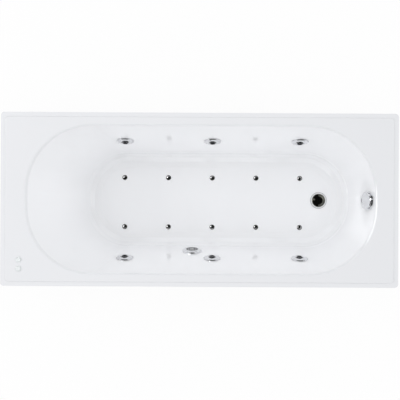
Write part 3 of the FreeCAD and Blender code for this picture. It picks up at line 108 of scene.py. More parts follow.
# sky levels by the height of a direction: 0 at the horizon, 1 straight up
SKY_PEAK = 1.20
SKY_LIGHT = ((0.0, 0.42), (0.28, 0.42), (0.40, 1.0), (0.60, 1.0), (0.70, 0.69), (1.0, 0.69))
SKY_MIRRORED = ((0.0, 0.80), (0.38, 0.90), (0.55, 0.05), (1.0, 0.03))
# a bright window that only mirrors show, high at the head end
WINDOW_DIRECTION = (-0.492, 0.150, 0.858)
WINDOW_EDGE = (0.975, 0.988)
WINDOW_LEVEL = 4.5
# how much of the floor that the camera sees is an even white, which takes no shadow
FLOOR_GLOW = 0.93
FLOOR_HALF_SIDE = 8.0


# ---------------------------------------------------------------- shader expressions

class Value:
    """A socket's value that can stand in a sum."""

    def __init__(self, nodes, socket):
        self.nodes = nodes
        self.socket = socket

    def _math(self, operation, first, second):
        return self.nodes.node("ShaderNodeMath", {"operation": operation}, {0: first, 1: second})

    def __add__(self, other):
        return self._math("ADD", self, other)

    def __radd__(self, other):
        return self._math("ADD", other, self)

    def __sub__(self, other):
        return self._math("SUBTRACT", self, other)

    def __rsub__(self, other):
        return self._math("SUBTRACT", other, self)

    def __mul__(self, other):
        return self._math("MULTIPLY", self, other)

    def __rmul__(self, other):
        return self._math("MULTIPLY", other, self)

    def __gt__(self, other):
        return self._math("GREATER_THAN", self, other)

    def __lt__(self, other):
        return self._math("LESS_THAN", self, other)

    def between(self, low, high):
        """0 below low, 1 above high, smooth in between."""
        return self.nodes.node("ShaderNodeMapRange", {"interpolation_type": "SMOOTHSTEP"},
                               {"Value": self, "From Min": low, "From Max": high})


class Nodes:
    """The nodes of one material, or of the world."""

    def __init__(self, tree):
        self.tree = tree

    def node(self, kind, settings=None, inputs=None, output=0):
        """Add a node: its settings first, then the values or links of its sockets."""
        made = self.tree.nodes.new(kind)
        for key, value in (settings or {}).items():
            if key == "stops":
                fill_ramp(made.color_ramp, value)
            else:
                setattr(made, key, value)
        for key, value in (inputs or {}).items():
            self.feed(made.inputs[key], value)
        return Value(self, made.outputs[output])

    def feed(self, socket, value):
        """Link a value to a socket, or write it there; a plain colour is made opaque."""
        if isinstance(value, Value):
            self.tree.links.new(value.socket, socket)
        elif socket.type == "RGBA":
            socket.default_value = (*value, 1.0)
        else:
            socket.default_value = value

    def axis(self, vector, name):
        return self.node("ShaderNodeSeparateXYZ", {}, {"Vector": vector}, name)

    def ramp(self, share, stops):
        return self.node("ShaderNodeValToRGB", {"stops": stops}, {0: share})


class Finish(Nodes):
    """One material and the nodes that give it its look, on Object coordinates."""

    def __init__(self, name):
        self.material = bpy.data.materials.new(name)
        self.material.use_nodes = True
        super().__init__(self.material.node_tree)
        self.shader = self.tree.nodes["Principled BSDF"]
        self.place = self.node("ShaderNodeTexCoord", output="Object")

    def noise(self, scale, detail=3.0, roughness=0.55, place=None):
        return self.node("ShaderNodeTexNoise", {}, {
            "Vector": place or self.place, "Scale": scale, "Detail": detail, "Roughness": roughness})

    def cells(self, scale, place=None):
        """Patches of one grey each."""
        patches = self.node("ShaderNodeTexVoronoi", {"feature": "F1"},
                            {"Vector": place or self.place, "Scale": scale}, "Color")
        return self.node("ShaderNodeRGBToBW", {}, {0: patches})

    def stretched(self, scale):
        """Object coordinates scaled unevenly, for grain that runs one way."""
        return self.node("ShaderNodeMapping", {}, {"Vector": self.place, "Scale": scale})

    def mix(self, share, first, second):
        """Blend two colours."""
        return self.node("ShaderNodeMix", {"data_type": "RGBA"}, {0: share, 6: first, 7: second}, 2)

    def bump(self, height, depth, strength=1.0):
        return self.node("ShaderNodeBump", {}, {"Height": height, "Distance": depth, "Strength": strength})

    def set(self, **values):
        """Set the shader's sockets: words are joined by underscores."""
        for key, value in values.items():
            self.feed(self.shader.inputs[key.replace("_", " ")], value)
        return self.material


def fill_ramp(ramp, stops):
    while len(ramp.elements) < len(stops):
        ramp.elements.new(0.5)
    for element, (position, colour) in zip(ramp.elements, stops):
        element.position = position
        element.color = (*colour, 1.0)


# ---------------------------------------------------------------- finishes

def acrylic():
    """Glossy acrylic on the bathing side, sprayed glass-fibre backing on the outside; the rim's flat top
    is painted a darker white than the basin: painted shade on the deck and painted light in the basin,
    though both are one acrylic.
    """
    made = Finish("white_acrylic")
    normal = made.node("ShaderNodeNewGeometry", output="Normal")
    facing = made.node("ShaderNodeVectorMath", {"operation": "MULTIPLY"}, {0: normal, 1: made.place})
    outward = made.axis(facing, "X") + made.axis(facing, "Y")
    height = made.axis(made.place, "Z")
    underside = made.axis(normal, "Z") < -0.2
    outer_wall = (outward > 0.02) * (height < LIP_BOTTOM)
    outside = made.node("ShaderNodeMath", {"operation": "MAXIMUM"}, {0: outer_wall, 1: underside})
    cloud = made.noise(3.0, 2.0)
    ripple = made.noise(14.0, 2.0, 0.4)
    # painted shade and light: the rim's flat top gets a darker white and the basin a brighter one, though
    # both are the same acrylic
    deck_painted_shade = made.mix(cloud, (0.785, 0.791, 0.808), (0.795, 0.801, 0.818))
    basin_painted_light = made.mix(cloud, (0.940, 0.945, 0.958), (0.950, 0.955, 0.968))
    bathing_side_painted_light_and_shade = made.mix(height.between(RIM_TOP - 0.012, RIM_TOP - 0.002), basin_painted_light, deck_painted_shade)
    strands = made.noise(1.0, 5.0, 0.7, made.stretched((420.0, 90.0, 160.0)))
    crossed = made.noise(1.0, 5.0, 0.7, made.stretched((80.0, 400.0, 210.0)))
    fibre = (strands + crossed) * 0.5
    lumps = made.noise(26.0, 4.0, 0.6)
    backing = made.mix(fibre.between(0.35, 0.68), (0.60, 0.585, 0.51), (0.76, 0.745, 0.68))
    smooth = made.bump(ripple, 0.00025, 0.35)
    rough = made.bump(fibre * 0.6 + lumps, 0.0022, 0.8)
    relief = made.node("ShaderNodeMix", {"data_type": "VECTOR"}, {0: outside, 4: smooth, 5: rough}, 1)
    gloss = made.noise(60.0, 2.0) * 0.03 + 0.10
    return made.set(
        Base_Color=made.mix(outside, bathing_side_painted_light_and_shade, backing),
        Roughness=outside * 0.55 + gloss * (1.0 - outside),
        Coat_Weight=(1.0 - outside) * 0.6,
        Coat_Roughness=0.04,
        IOR=1.49,
        Normal=relief)


def chrome(name, colour, least, grain=320.0):
    """Plated or ground metal, with the faint haze of water marks."""
    made = Finish(name)
    haze = made.noise(38.0, 4.0, 0.65)
    fine = made.noise(grain, 2.0)
    darker = tuple(part * 0.93 for part in colour)
    return made.set(
        Base_Color=made.mix(haze.between(0.3, 0.75), colour, darker),
        Metallic=1.0,
        Roughness=least + haze * 0.08 + fine * 0.02,
        Normal=made.bump(haze, 0.0002, 0.3))


def ringed(finish, centre, radii, bright, dull):
    """Paint shade as a darker ring round a fitting's axis: the shade inside a zone of holes, and a shadow
    at an edge.
    """
    away = finish.node("ShaderNodeVectorMath", {"operation": "DISTANCE"},
                       {0: finish.place, 1: centre}, "Value")
    start, full, fading, end = radii
    # painted shade: this ring mask carries the darker colour
    ring = away.between(start, full) * (1.0 - away.between(fading, end))
    return finish.mix(ring, bright, dull)


def pierced_chrome_painted_shade():
    """The suction grille: plated, with painted shade as a grey ring where its small holes are."""
    made = Finish("pierced_chrome_painted_shade")
    haze = made.noise(38.0, 4.0, 0.65)
    # painted shade: the grey ring stands in for the shade inside the grille's holes
    painted_hole_shade = (0.006, 0.011, 0.024, 0.029)
    colour = ringed(made, middle("suction_cover"), painted_hole_shade, (0.80, 0.805, 0.82), (0.40, 0.40, 0.41))
    return made.set(Base_Color=colour, Metallic=1.0, Roughness=0.08 + haze * 0.08,
                    Normal=made.bump(haze, 0.0002, 0.3))


def satin_metal_painted_edge_shadow():
    """Brushed pale metal, with a painted shadow as a grey ring where the waste flange's edge meets the
    acrylic.
    """
    made = Finish("satin_metal_painted_edge_shadow")
    fine = made.noise(700.0, 2.0)
    low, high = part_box("waste_flange")
    centre = (WASTE_X, middle("waste_flange")[1], high[2] - 0.001)
    edge = (high[0] - low[0]) / 2
    # painted shadow: a grey ring across the flange's edge
    painted_shadow_radii = (edge - 0.0030, edge - 0.0016, edge + 0.002, edge + 0.003)
    colour = ringed(made, centre, painted_shadow_radii, (0.80, 0.805, 0.81), (0.48, 0.48, 0.49))
    return made.set(Base_Color=colour, Metallic=0.15, Roughness=0.30 + fine * 0.05, Coat_Weight=0.3,
                    Normal=made.bump(fine, 0.00005, 0.4))


def moulded(name, colour, roughness, shade=0.1, grain=900.0, depth=0.00012, coat=0.0):
    """Moulded plastic or rubber with a fine grain, slight mottling and a few duller scuffs."""
    made = Finish(name)
    cloud = made.noise(11.0, 4.0, 0.6)
    fine = made.noise(grain, 2.0, 0.5)
    scuffs = made.noise(1.0, 6.0, 0.7, made.stretched((60.0, 14.0, 90.0))).between(0.60, 0.74)
    low = tuple(part * (1.0 - shade) for part in colour)
    high = tuple(min(part * (1.0 + shade * 0.5), 0.9) for part in colour)
    return made.set(
        Base_Color=made.mix(cloud, low, high),
        Roughness=roughness + (cloud - 0.5) * 0.12 + scuffs * 0.08,
        Coat_Weight=coat,
        Normal=made.bump(fine + cloud * 0.4, depth, 0.6))


def galvanised(name, colour, flake):
    """Zinc-coated steel: angular crystals of slightly different grey, dulled in places."""
    made = Finish(name)
    crystal = made.cells(flake)
    wear = made.noise(7.0, 5.0, 0.65)
    pale = tuple(min(part * 1.12, 0.95) for part in colour)
    dull = tuple(part * 0.84 for part in colour)
    zinc = made.mix(crystal.between(0.25, 0.75), dull, pale)
    return made.set(
        Base_Color=made.mix(wear.between(0.52, 0.8) * 0.5, zinc, (0.42, 0.42, 0.40)),
        Metallic=0.9,
        Roughness=0.34 + crystal * 0.12 + wear * 0.14,
        Normal=made.bump(crystal * 0.3 + wear, 0.0003, 0.35))


def chipboard():
    """Pressed flakes, paler and darker, with a coarse sawn surface."""
    made = Finish("chipboard")
    flakes = made.cells(1.0, made.stretched((95.0, 210.0, 420.0)))
    small = made.cells(520.0)
    share = flakes * 0.65 + small * 0.35
    colour = made.ramp(share, [
        (0.15, (0.24, 0.145, 0.07)), (0.45, (0.45, 0.31, 0.17)),
        (0.7, (0.58, 0.43, 0.26)), (0.95, (0.68, 0.55, 0.37))])
    return made.set(Base_Color=colour, Roughness=0.72 + small * 0.15, Normal=made.bump(share, 0.0008, 0.6))


def cast_paint():
    """Painted die-cast motor housing: slightly pebbled, and paler in cloudy patches."""
    made = Finish("cast_motor_paint")
    pebble = made.noise(420.0, 3.0)
    cloud = made.noise(9.0, 5.0, 0.6)
    colour = made.mix(cloud.between(0.35, 0.7), (0.115, 0.125, 0.14), (0.165, 0.175, 0.19))
    return made.set(Base_Color=colour, Metallic=0.25, Roughness=0.42 + cloud * 0.14,
                    Normal=made.bump(pebble, 0.0005, 0.5))


FINISHES = {
    "acrylic": acrylic(),
    "board": chipboard(),
    "galvanised": galvanised("galvanised_steel", (0.55, 0.56, 0.57), 95.0),
    "zinc_steel": galvanised("zinc_plated_steel", (0.62, 0.62, 0.58), 260.0),
    "black_plastic": moulded("black_moulding", (0.028, 0.028, 0.030), 0.42, 0.2),
    "blower_plastic": moulded("grey_moulding", (0.055, 0.058, 0.064), 0.48, 0.18),
    "pvc": moulded("white_pvc_pipe", (0.74, 0.74, 0.72), 0.30, 0.06, 700.0, 0.00010, 0.15),
    "hose": moulded("grey_hose", (0.11, 0.11, 0.115), 0.5, 0.15),
    "chrome": chrome("polished_chrome", (0.78, 0.785, 0.80), 0.05),
    "pale_plastic": moulded("pale_button_plastic", (0.77, 0.80, 0.80), 0.30, 0.03, 700.0, 0.00005, 0.3),
    "dark_plastic": moulded("dark_nozzle_plastic", (0.035, 0.036, 0.040), 0.16, 0.15, 700.0, 0.00005, 0.3),
    "rubber": moulded("black_rubber", (0.022, 0.022, 0.022), 0.72, 0.2),
    "fitting_plastic": moulded("pale_fitting_plastic", (0.70, 0.70, 0.67), 0.38, 0.07, 800.0),
    "motor_paint": cast_paint(),
    "shaft_steel": chrome("ground_shaft_steel", (0.60, 0.60, 0.61), 0.22, 700.0),
    "cable_sheath": moulded("cable_sheath", (0.05, 0.05, 0.052), 0.45, 0.15),
    "case_plastic": moulded("control_case_plastic", (0.56, 0.575, 0.59), 0.44, 0.06),
}
# painted reflection: the waste plug and injector caps get chrome with a near-black base and the injector
# domes a dark grey one, so the white surroundings they mirror come out dark
DARKENED_CHROME_PAINTED_REFLECTION = chrome("chrome_painted_dark_reflection", (0.11, 0.11, 0.095), 0.03)
DOME_CHROME_PAINTED_REFLECTION = chrome("polished_chrome_painted_dark_reflection", (0.42, 0.42, 0.42), 0.02)
OWN_FINISH = {"waste_plug": DARKENED_CHROME_PAINTED_REFLECTION, "air_injectors": DARKENED_CHROME_PAINTED_REFLECTION, "waste_flange": satin_metal_painted_edge_shadow(),
              "suction_cover": pierced_chrome_painted_shade()}


def dress_nodes():
    """Give each CAD node the finish of its material slot, or its own."""
    for row in frame["record"]["subparts"]:
        name = row["node"]
        materials = frame["nodes"][name].data.materials
        materials.clear()
        materials.append(OWN_FINISH.get(name, FINISHES[row["material_slot"]]))


# ---------------------------------------------------------------- building pieces

def piece(name, work, body, slot):
    """Finish a bmesh as a shown piece that rides on a body."""
    bmesh.ops.remove_doubles(work, verts=work.verts, dist=1e-6)
    bmesh.ops.recalc_face_normals(work, faces=work.faces)
    mesh = bpy.data.meshes.new(name)
    work.to_mesh(mesh)
    work.free()
    mesh.shade_smooth()
    mesh.set_sharp_from_angle(angle=math.radians(35))
    obj = bpy.data.objects.new(name, mesh)
    bpy.context.scene.collection.objects.link(obj)
    mesh.materials.append(FINISHES[slot])
    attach(obj, body)
    return obj


def at(x, y, z):
    """Matrix that moves to a position."""
    return Matrix.Translation((x, y, z))


def aim(position, direction):
    """Matrix that carries local Z onto a direction, at a position."""
    turn = Vector(direction).to_track_quat("Z", "Y").to_matrix().to_4x4()
    return Matrix.Translation(Vector(position)) @ turn


def joined_to(start):
    """All vertices joined to the given ones, by one edge after another."""
    seen = set(start)
    waiting = list(start)
    while waiting:
        vertex = waiting.pop()
        for edge in vertex.link_edges:
            other = edge.other_vert(vertex)
            if other not in seen:
                seen.add(other)
                waiting.append(other)
    return list(seen)


def lathe(work, profile, place, steps=32):
    """Turn (radius, height) points about local Z; a closed profile starts and ends on one point."""
    closed = profile[0] == profile[-1]
    points = profile[:-1] if closed else profile
    verts = [work.verts.new((radius, 0.0, height)) for radius, height in points]
    edges = [work.edges.new(pair) for pair in zip(verts, verts[1:])]
    if closed:
        edges.append(work.edges.new((verts[-1], verts[0])))
    bmesh.ops.spin(work, geom=verts + edges, cent=(0, 0, 0), axis=(0, 0, 1),
                   angle=math.tau, steps=steps, use_merge=True)
    bmesh.ops.transform(work, matrix=place, verts=joined_to(verts))


def band(work, inner, outer, width, place, steps):
    """A plain ring of square-edged section, from its place along local Z."""
    lathe(work, [(inner, 0.0), (outer, 0.0), (outer, width), (inner, width), (inner, 0.0)], place, steps)


def bevelled(work, verts, offset, segments):
    """Bevel every edge of a fresh shape, and return its vertices."""
    edges = list({edge for vert in verts for edge in vert.link_edges})
    made = bmesh.ops.bevel(work, geom=edges, offset=offset, segments=segments, profile=0.5,
                           affect="EDGES", material=-1)
    return joined_to(made["verts"])


def block(work, size, place, round_by=0.0):
    """A box, with its edges rounded where asked."""
    verts = bmesh.ops.create_cube(work, size=1.0)["verts"]
    bmesh.ops.scale(work, vec=size, verts=verts)
    if round_by:
        verts = bevelled(work, verts, round_by, 2)
    bmesh.ops.transform(work, matrix=place, verts=verts)


def hexagon(work, radius, height, place):
    """A bolt's head with chamfered edges, on a washer."""
    washer = height * 0.2
    head = height * 0.8
    lathe(work, [(0.0, 0.0), (radius * 1.35, 0.0), (radius * 1.35, washer), (0.0, washer)], place, 20)
    verts = bmesh.ops.create_cone(work, cap_ends=True, segments=6, radius1=radius, radius2=radius,
                                  depth=head)["verts"]
    bmesh.ops.translate(work, vec=(0, 0, washer + head / 2), verts=verts)
    bmesh.ops.transform(work, matrix=place, verts=bevelled(work, verts, radius * 0.08, 1))


def screw(work, radius, place):
    """A pan head with a raised cross."""
    rise = radius * 0.6
    lathe(work, [(0.0, 0.0), (radius, 0.0), (radius, rise * 0.35), (radius * 0.8, rise * 0.8),
                 (radius * 0.45, rise), (0.0, rise)], place, 16)
    for turn in (0.0, math.pi / 2):
        bar_place = place @ at(0, 0, rise) @ Matrix.Rotation(turn, 4, "Z")
        block(work, (radius * 1.1, radius * 0.2, radius * 0.12), bar_place)


def ring_of(count, radius, first=0.0):
    """The angles of an even ring, each with its two offsets from the middle."""
    for index in range(count):
        angle = first + math.tau * index / count
        yield angle, radius * math.cos(angle), radius * math.sin(angle)


# ---------------------------------------------------------------- camera and light

def make_camera():
    """Straight down from above the rim, as the photograph shows the bath."""
    data = bpy.data.cameras.new("camera")
    data.lens = LENS
    data.sensor_width = SENSOR_WIDTH
    data.clip_end = 50.0
    camera = bpy.data.objects.new("camera", data)
    camera.location = CAMERA_PLACE
    camera.rotation_euler = (0.0, 0.0, math.radians(CAMERA_ROLL))
    bpy.context.scene.collection.objects.link(camera)
    bpy.context.scene.camera = camera


def area_light(name, place, target, size, power, mirrored=True):
    """A rectangular lamp turned to a target; mirrors may be kept from showing it."""
    data = bpy.data.lights.new(name, "AREA")
    data.shape = "RECTANGLE"
    data.size, data.size_y = size
    data.energy = power
    light = bpy.data.objects.new(name, data)
    light.location = place
    light.visible_glossy = mirrored
    toward = Vector(target) - Vector(place)
    light.rotation_euler = toward.to_track_quat("-Z", "Y").to_euler()
    bpy.context.scene.collection.objects.link(light)


def make_world():
    """White to the camera and bright low around the room; mirrors show it dark overhead, with a window."""
    world = bpy.data.worlds.new("studio")
    bpy.context.scene.world = world
    world.use_nodes = True
    sky = Nodes(world.node_tree)
    direction = sky.node("ShaderNodeTexCoord", output="Generated")
    height = sky.axis(direction, "Z")

    def by_height(stops):
        return sky.ramp(height, [(position, (level,) * 3) for position, level in stops])

    toward = sky.node("ShaderNodeVectorMath", {"operation": "DOT_PRODUCT"},
                      {0: direction, 1: WINDOW_DIRECTION}, "Value")
    outside_window, inside_window = WINDOW_EDGE
    window = sky.node("ShaderNodeMapRange", {}, {
        "Value": toward, "From Min": outside_window, "From Max": inside_window, "To Max": WINDOW_LEVEL})
    lit = by_height(SKY_LIGHT) * SKY_PEAK
    mirrored = by_height(SKY_MIRRORED) + window
    glossy_ray = sky.node("ShaderNodeLightPath", output="Is Glossy Ray")
    camera_ray = sky.node("ShaderNodeLightPath", output="Is Camera Ray")
    room = lit * (1.0 - glossy_ray) + mirrored * glossy_ray
    background = sky.tree.nodes["Background"]
    sky.feed(background.inputs["Color"], (0.985, 0.99, 1.0))
    sky.feed(background.inputs["Strength"], room * (1.0 - camera_ray) + camera_ray)


def floor_finish():
    """Pale and matt; to the camera nearly an even white, and clear from below."""
    made = Finish("pale_floor")
    made.set(Base_Color=(0.88, 0.88, 0.88), Roughness=0.8)
    matt = Value(made, made.shader.outputs[0])
    glow = made.node("ShaderNodeEmission", {}, {"Strength": 1.0})
    camera_ray = made.node("ShaderNodeLightPath", output="Is Camera Ray")
    seen = made.node("ShaderNodeMixShader", {}, {0: camera_ray * FLOOR_GLOW, 1: matt, 2: glow})
    from_below = made.node("ShaderNodeNewGeometry", output="Backfacing")
    clear = made.node("ShaderNodeBsdfTransparent")
    both_sides = made.node("ShaderNodeMixShader", {}, {0: from_below, 1: seen, 2: clear})
    made.feed(made.tree.nodes["Material Output"].inputs["Surface"], both_sides)
    return made.material


def make_studio():
    make_world()
    area_light("key", (-1.2, 1.3, 3.6), (0.1, 0.0, 0.3), (0.55, 0.55), 2.0)
    area_light("overhead", (0.0, 0.0, 3.8), (0.0, 0.0, 0.3), (2.6, 1.6), 15.5, mirrored=False)
    area_light("head_side", (-3.6, 0.0, 2.1), (0.6, 0.0, 0.3), (1.2, 1.2), 20.5)
    area_light("foot_side", (3.6, 0.0, 2.1), (-0.5, 0.0, 0.3), (1.2, 1.2), 4.5)
    mesh = bpy.data.meshes.new("floor")
    work = bmesh.new()
    bmesh.ops.create_grid(work, x_segments=1, y_segments=1, size=FLOOR_HALF_SIDE)
    work.to_mesh(mesh)
    work.free()
    mesh.materials.append(floor_finish())
    floor = bpy.data.objects.new("floor", mesh)
    bpy.context.scene.collection.objects.link(floor)


# ---------------------------------------------------------------- small fittings

def bolts_on_pump():
    """Hexagon heads round the joint of wet end and motor, and screws round the fan cowl."""
    work = bmesh.new()
    for _, x, z in ring_of(8, VOLUTE_BOLT_CIRCLE, math.radians(22.5)):
        hexagon(work, BOLT_RADIUS, BOLT_HEIGHT, aim((PUMP_X + x, VOLUTE_BACK_Y, PUMP_Z + z), (0, 1, 0)))
    piece("volute_bolts", work, "tub", "zinc_steel")

    screw_circle = MOTOR_RADIUS - 0.002
    screw_y = MOTOR_BACK_Y + 0.008
    work = bmesh.new()
    for angle, x, z in ring_of(4, screw_circle, math.radians(45)):
        outward = (math.cos(angle), 0, math.sin(angle))
        screw(work, CASE_SCREW, aim((PUMP_X + x, screw_y, PUMP_Z + z), outward))
    piece("cowl_screws", work, "tub", "zinc_steel")


def screws_on_blower():
    """Screws round the blower's lid, and ribs round its motor can."""
    housing_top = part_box("blower_housing")[1][2]
    flange_top = housing_top + 0.003
    work = bmesh.new()
    for _, x, y in ring_of(6, BLOWER_SCREW_CIRCLE, math.radians(18)):
        screw(work, CASE_SCREW, aim((BLOWER_X + x, BLOWER_Y + y, flange_top), (0, 0, 1)))
    piece("blower_screws", work, "tub", "zinc_steel")

    rib = (0.003, 0.003, 0.044)
    rib_middle = housing_top + 0.034
    work = bmesh.new()
    for _, x, y in ring_of(10, BLOWER_CAN_RADIUS):
        block(work, rib, at(BLOWER_X + x, BLOWER_Y + y, rib_middle), 0.0008)
    piece("blower_can_ribs", work, "tub", "blower_plastic")


def corner_screws(work, radius, centre, reach_y, reach_z):
    """Four screws in the corners of a lid that faces the head end."""
    x, y, z = centre
    for side in (-1, 1):
        for rise in (-1, 1):
            screw(work, radius, aim((x, y + side * reach_y, z + rise * reach_z), (-1, 0, 0)))


def case_details():
    """Raised lids with corner screws on the control box and the motor's wiring box."""
    case_face, case_start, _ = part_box("control_box")[0]
    case_half_length = 0.090
    case_y = case_start + case_half_length
    case_z = middle("control_box")[2]
    case_lid = (0.004, 0.172, 0.102)
    work = bmesh.new()
    block(work, case_lid, at(case_face - 0.0018, case_y, case_z), 0.0012)
    piece("control_box_lid", work, "tub", "case_plastic")

    wiring_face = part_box("motor_terminal_box")[0][0]
    _, wiring_y, wiring_z = middle("motor_terminal_box")
    work = bmesh.new()
    corner_screws(work, CASE_SCREW, (case_face - 0.0036, case_y, case_z), 0.078, 0.043)
    corner_screws(work, WIRING_SCREW, (wiring_face - 0.003, wiring_y, wiring_z), 0.023, 0.023)
    piece("case_screws", work, "tub", "zinc_steel")

    wiring_lid = (0.004, 0.064, 0.064)
    work = bmesh.new()
    block(work, wiring_lid, at(wiring_face - 0.0012, wiring_y, wiring_z), 0.0015)
    piece("terminal_box_lid", work, "tub", "black_plastic")


def rod_threads():
    """Rolled thread on the six foot rods."""
    low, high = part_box("foot_rods")
    turns = int((high[2] - low[2] - 2 * THREAD_MARGIN) / THREAD_PITCH)
    root = ROD_RADIUS - THREAD_ROOT
    crest = ROD_RADIUS + THREAD_CREST
    profile = []
    for turn in range(turns):
        start = THREAD_MARGIN + turn * THREAD_PITCH
        profile += [(root, start), (crest, start + THREAD_PITCH / 2)]
    profile.append((root, THREAD_MARGIN + turns * THREAD_PITCH))
    work = bmesh.new()
    for x in (low[0] + ROD_RADIUS, MIDDLE_FOOT_X, high[0] - ROD_RADIUS):
        for y in (low[1] + ROD_RADIUS, high[1] - ROD_RADIUS):
            lathe(work, profile, at(x, y, low[2]), 14)
    piece("foot_rod_threads", work, "tub", "zinc_steel")


def rail_plugs():
    """Plugs in the open ends of the two rails."""
    low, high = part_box("base_frame")
    plug = (0.006, 0.0296, 0.0296)
    work = bmesh.new()
    for y in (-RAIL_Y, RAIL_Y):
        for x in (low[0], high[0]):
            block(work, plug, at(x, y, low[2] + BAR_SIDE / 2), 0.0015)
    piece("rail_end_plugs", work, "tub", "black_plastic")


def weld_beads():
    """A bead on both sides of each crossbar where it stands on a rail."""
    bead_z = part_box("base_frame")[0][2] + BAR_SIDE + 0.0005
    beside = BAR_SIDE / 2 + 0.0005
    along_y = Matrix.Rotation(math.pi / 2, 4, "X")
    work = bmesh.new()
    for x in CROSSBARS:
        for y in (-RAIL_Y, RAIL_Y):
            for edge in (-1, 1):
                verts = bmesh.ops.create_cone(work, cap_ends=True, segments=8, radius1=BEAD_RADIUS,
                                              radius2=BEAD_RADIUS, depth=BEAD_LENGTH)["verts"]
                place = at(x + edge * beside, y, bead_z) @ along_y
                bmesh.ops.transform(work, matrix=place, verts=verts)
    piece("weld_beads", work, "tub", "galvanised")


def frame_screws():
    """Screws up through the crossbars for the board, and down through the tray into the rails."""
    crossbar_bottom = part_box("base_frame")[0][2] + BAR_SIDE
    work = bmesh.new()
    for x in CROSSBARS:
        for y in (-BOARD_SCREW_Y, BOARD_SCREW_Y):
            screw(work, FRAME_SCREW, aim((x, y, crossbar_bottom), (0, 0, -1)))
    tray_low, tray_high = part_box("equipment_tray")
    inset = 0.012
    for x in (tray_low[0] + inset, tray_high[0] - inset):
        for y in (-RAIL_Y, RAIL_Y):
            screw(work, FRAME_SCREW, aim((x, y, tray_high[2]), (0, 0, 1)))
    piece("frame_screws", work, "tub", "zinc_steel")


def hose_sleeves():
    """Rubber sleeves and steel bands where the air hose meets its two spigots."""
    length = 0.032
    chamfer = 0.001
    bore = AIR_HOSE_RADIUS + 0.0001
    shoulder = AIR_HOSE_RADIUS + 0.0026
    outer = AIR_HOSE_RADIUS + 0.003
    profile = [(bore, 0.0), (shoulder, 0.0), (outer, chamfer), (outer, length - chamfer),
               (shoulder, length), (bore, length), (bore, 0.0)]
    band_width = 0.008
    lock = (0.012, 0.009, 0.006)
    low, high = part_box("air_hose")
    manifold_spigot = Vector((high[0], low[1] + AIR_HOSE_RADIUS, low[2] + AIR_HOSE_RADIUS))
    blower_spigot = Vector((low[0], high[1] - AIR_HOSE_RADIUS, high[2] - AIR_HOSE_RADIUS))
    sleeves = bmesh.new()
    bands = bmesh.new()
    for spigot in (manifold_spigot, blower_spigot):
        start = spigot - Vector((length / 2, 0, 0))
        lathe(sleeves, profile, aim(start, (1, 0, 0)), 40)
        for shift in (0.003, 0.021):
            band_start = start + Vector((shift, 0, 0))
            band(bands, AIR_HOSE_RADIUS + 0.0028, AIR_HOSE_RADIUS + 0.0038, band_width,
                 aim(band_start, (1, 0, 0)), 40)
            lock_middle = band_start + Vector((band_width / 2, 0, AIR_HOSE_RADIUS + 0.0055))
            block(bands, lock, Matrix.Translation(lock_middle), 0.001)
    piece("air_hose_sleeves", sleeves, "tub", "rubber")
    piece("air_hose_bands", bands, "tub", "zinc_steel")


def pipe_clips():
    """Clips that hold the water pipes off the shell's backing: a ring, an arm and a leaning pad."""
    low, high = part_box("jet_pipes")
    pipe_z = low[2] + WATER_PIPE_RADIUS
    width = 0.014
    work = bmesh.new()
    for side in (-1, 1):
        y = side * (high[1] - WATER_PIPE_RADIUS)
        lean = Matrix.Rotation(side * math.radians(-13.7), 4, "X")
        for x in CLIP_PLACES:
            band(work, WATER_PIPE_RADIUS, WATER_PIPE_RADIUS + 0.0028, width,
                 aim((x - width / 2, y, pipe_z), (1, 0, 0)), 36)
            block(work, (width, 0.025, 0.004), at(x, y - side * 0.0295, pipe_z), 0.0008)
            block(work, (0.030, 0.004, 0.026), at(x, y - side * 0.0405, pipe_z) @ lean, 0.001)
    piece("water_pipe_clips", work, "tub", "black_plastic")


def union_ribs():
    """Grip ribs on the pump's two union rings."""
    low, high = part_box("pump_unions")
    discharge_z = high[2] - 0.0095
    suction_y = low[1] + 0.017
    count = 12
    work = bmesh.new()
    for angle, x, y in ring_of(count, 0.027):
        place = at(DISCHARGE_X + x, DISCHARGE_Y + y, discharge_z) @ Matrix.Rotation(angle, 4, "Z")
        block(work, (0.003, 0.004, 0.015), place, 0.0008)
    for angle, x, z in ring_of(count, 0.0355):
        place = at(PUMP_X + x, suction_y, PUMP_Z + z) @ Matrix.Rotation(-angle, 4, "Y")
        block(work, (0.003, 0.028, 0.005), place, 0.0008)
    piece("union_grip_ribs", work, "tub", "pvc")


def trap_ribs():
    """Grip ribs round the trap's screwed cup."""
    rib_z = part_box("trap")[0][2] + 0.011
    work = bmesh.new()
    for angle, x, y in ring_of(16, 0.037):
        place = at(WASTE_X + x, y, rib_z) @ Matrix.Rotation(angle, 4, "Z")
        block(work, (0.003, 0.004, 0.014), place, 0.0008)
    piece("trap_grip_ribs", work, "tub", "fitting_plastic")


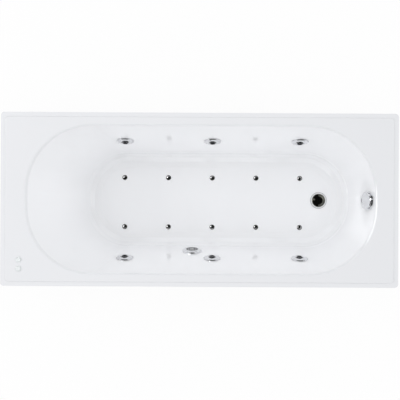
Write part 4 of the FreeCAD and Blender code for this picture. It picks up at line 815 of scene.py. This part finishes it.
def cable_ties():
    """Two ties round the pump's lead below the control box."""
    lead_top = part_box("motor_leads")[1][2]
    width = 0.004
    work = bmesh.new()
    for drop in TIE_DROPS:
        z = lead_top - drop
        band(work, 0.0040, 0.0052, width, aim((PUMP_LEAD_X, MOTOR_MIDDLE_Y, z), (0, 0, 1)), 20)
        block(work, (0.005, 0.005, width), at(PUMP_LEAD_X - 0.006, MOTOR_MIDDLE_Y, z + width / 2), 0.0006)
    piece("cable_ties", work, "tub", "black_plastic")


def injector_domes():
    """Polished dome on each floor injector's cap, inside its ring of vents."""
    low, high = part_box("air_injectors")
    per_row = 5
    step = (high[0] - low[0] - 2 * INJECTOR_CAP) / (per_row - 1)
    angles = [math.radians(degrees) for degrees in range(0, 24, 3)]
    sunk = INJECTOR_DOME * math.cos(angles[-1]) + 0.0002
    profile = [(INJECTOR_DOME * math.sin(angle), INJECTOR_DOME * math.cos(angle) - sunk)
               for angle in angles]
    work = bmesh.new()
    for index in range(per_row):
        for y in (low[1] + INJECTOR_CAP, high[1] - INJECTOR_CAP):
            x = low[0] + INJECTOR_CAP + index * step
            lathe(work, profile, at(x, y, high[2] - 0.0006), 28)
    dome = piece("injector_domes", work, "tub", "chrome")
    # painted reflection: the domes take the darkened chrome
    dome.data.materials[0] = DOME_CHROME_PAINTED_REFLECTION


def suction_screw():
    """Fixing screw in the middle of the suction cover, square to the leaning wall."""
    height = 0.270
    slope = WALL_SPREAD / BASIN_DEPTH
    lean = math.atan(slope)
    inward = Vector((0, math.cos(lean), math.sin(lean)))
    wall_y = FLOOR_HALF_WIDTH + (height - FLOOR_Z) * slope
    on_wall = Vector((middle("suction_cover")[0], -wall_y, height))
    work = bmesh.new()
    screw(work, GRILLE_SCREW, aim(on_wall + inward * 0.010, inward))
    piece("suction_cover_screw", work, "tub", "zinc_steel")


# ---------------------------------------------------------------- the scene

make_camera()
make_studio()
dress_nodes()
bolts_on_pump()
screws_on_blower()
case_details()
rod_threads()
rail_plugs()
weld_beads()
frame_screws()
hose_sleeves()
pipe_clips()
union_ribs()
trap_ribs()
cable_ties()
injector_domes()
suction_screw()

bpy.context.scene.view_settings.view_transform = "Standard"
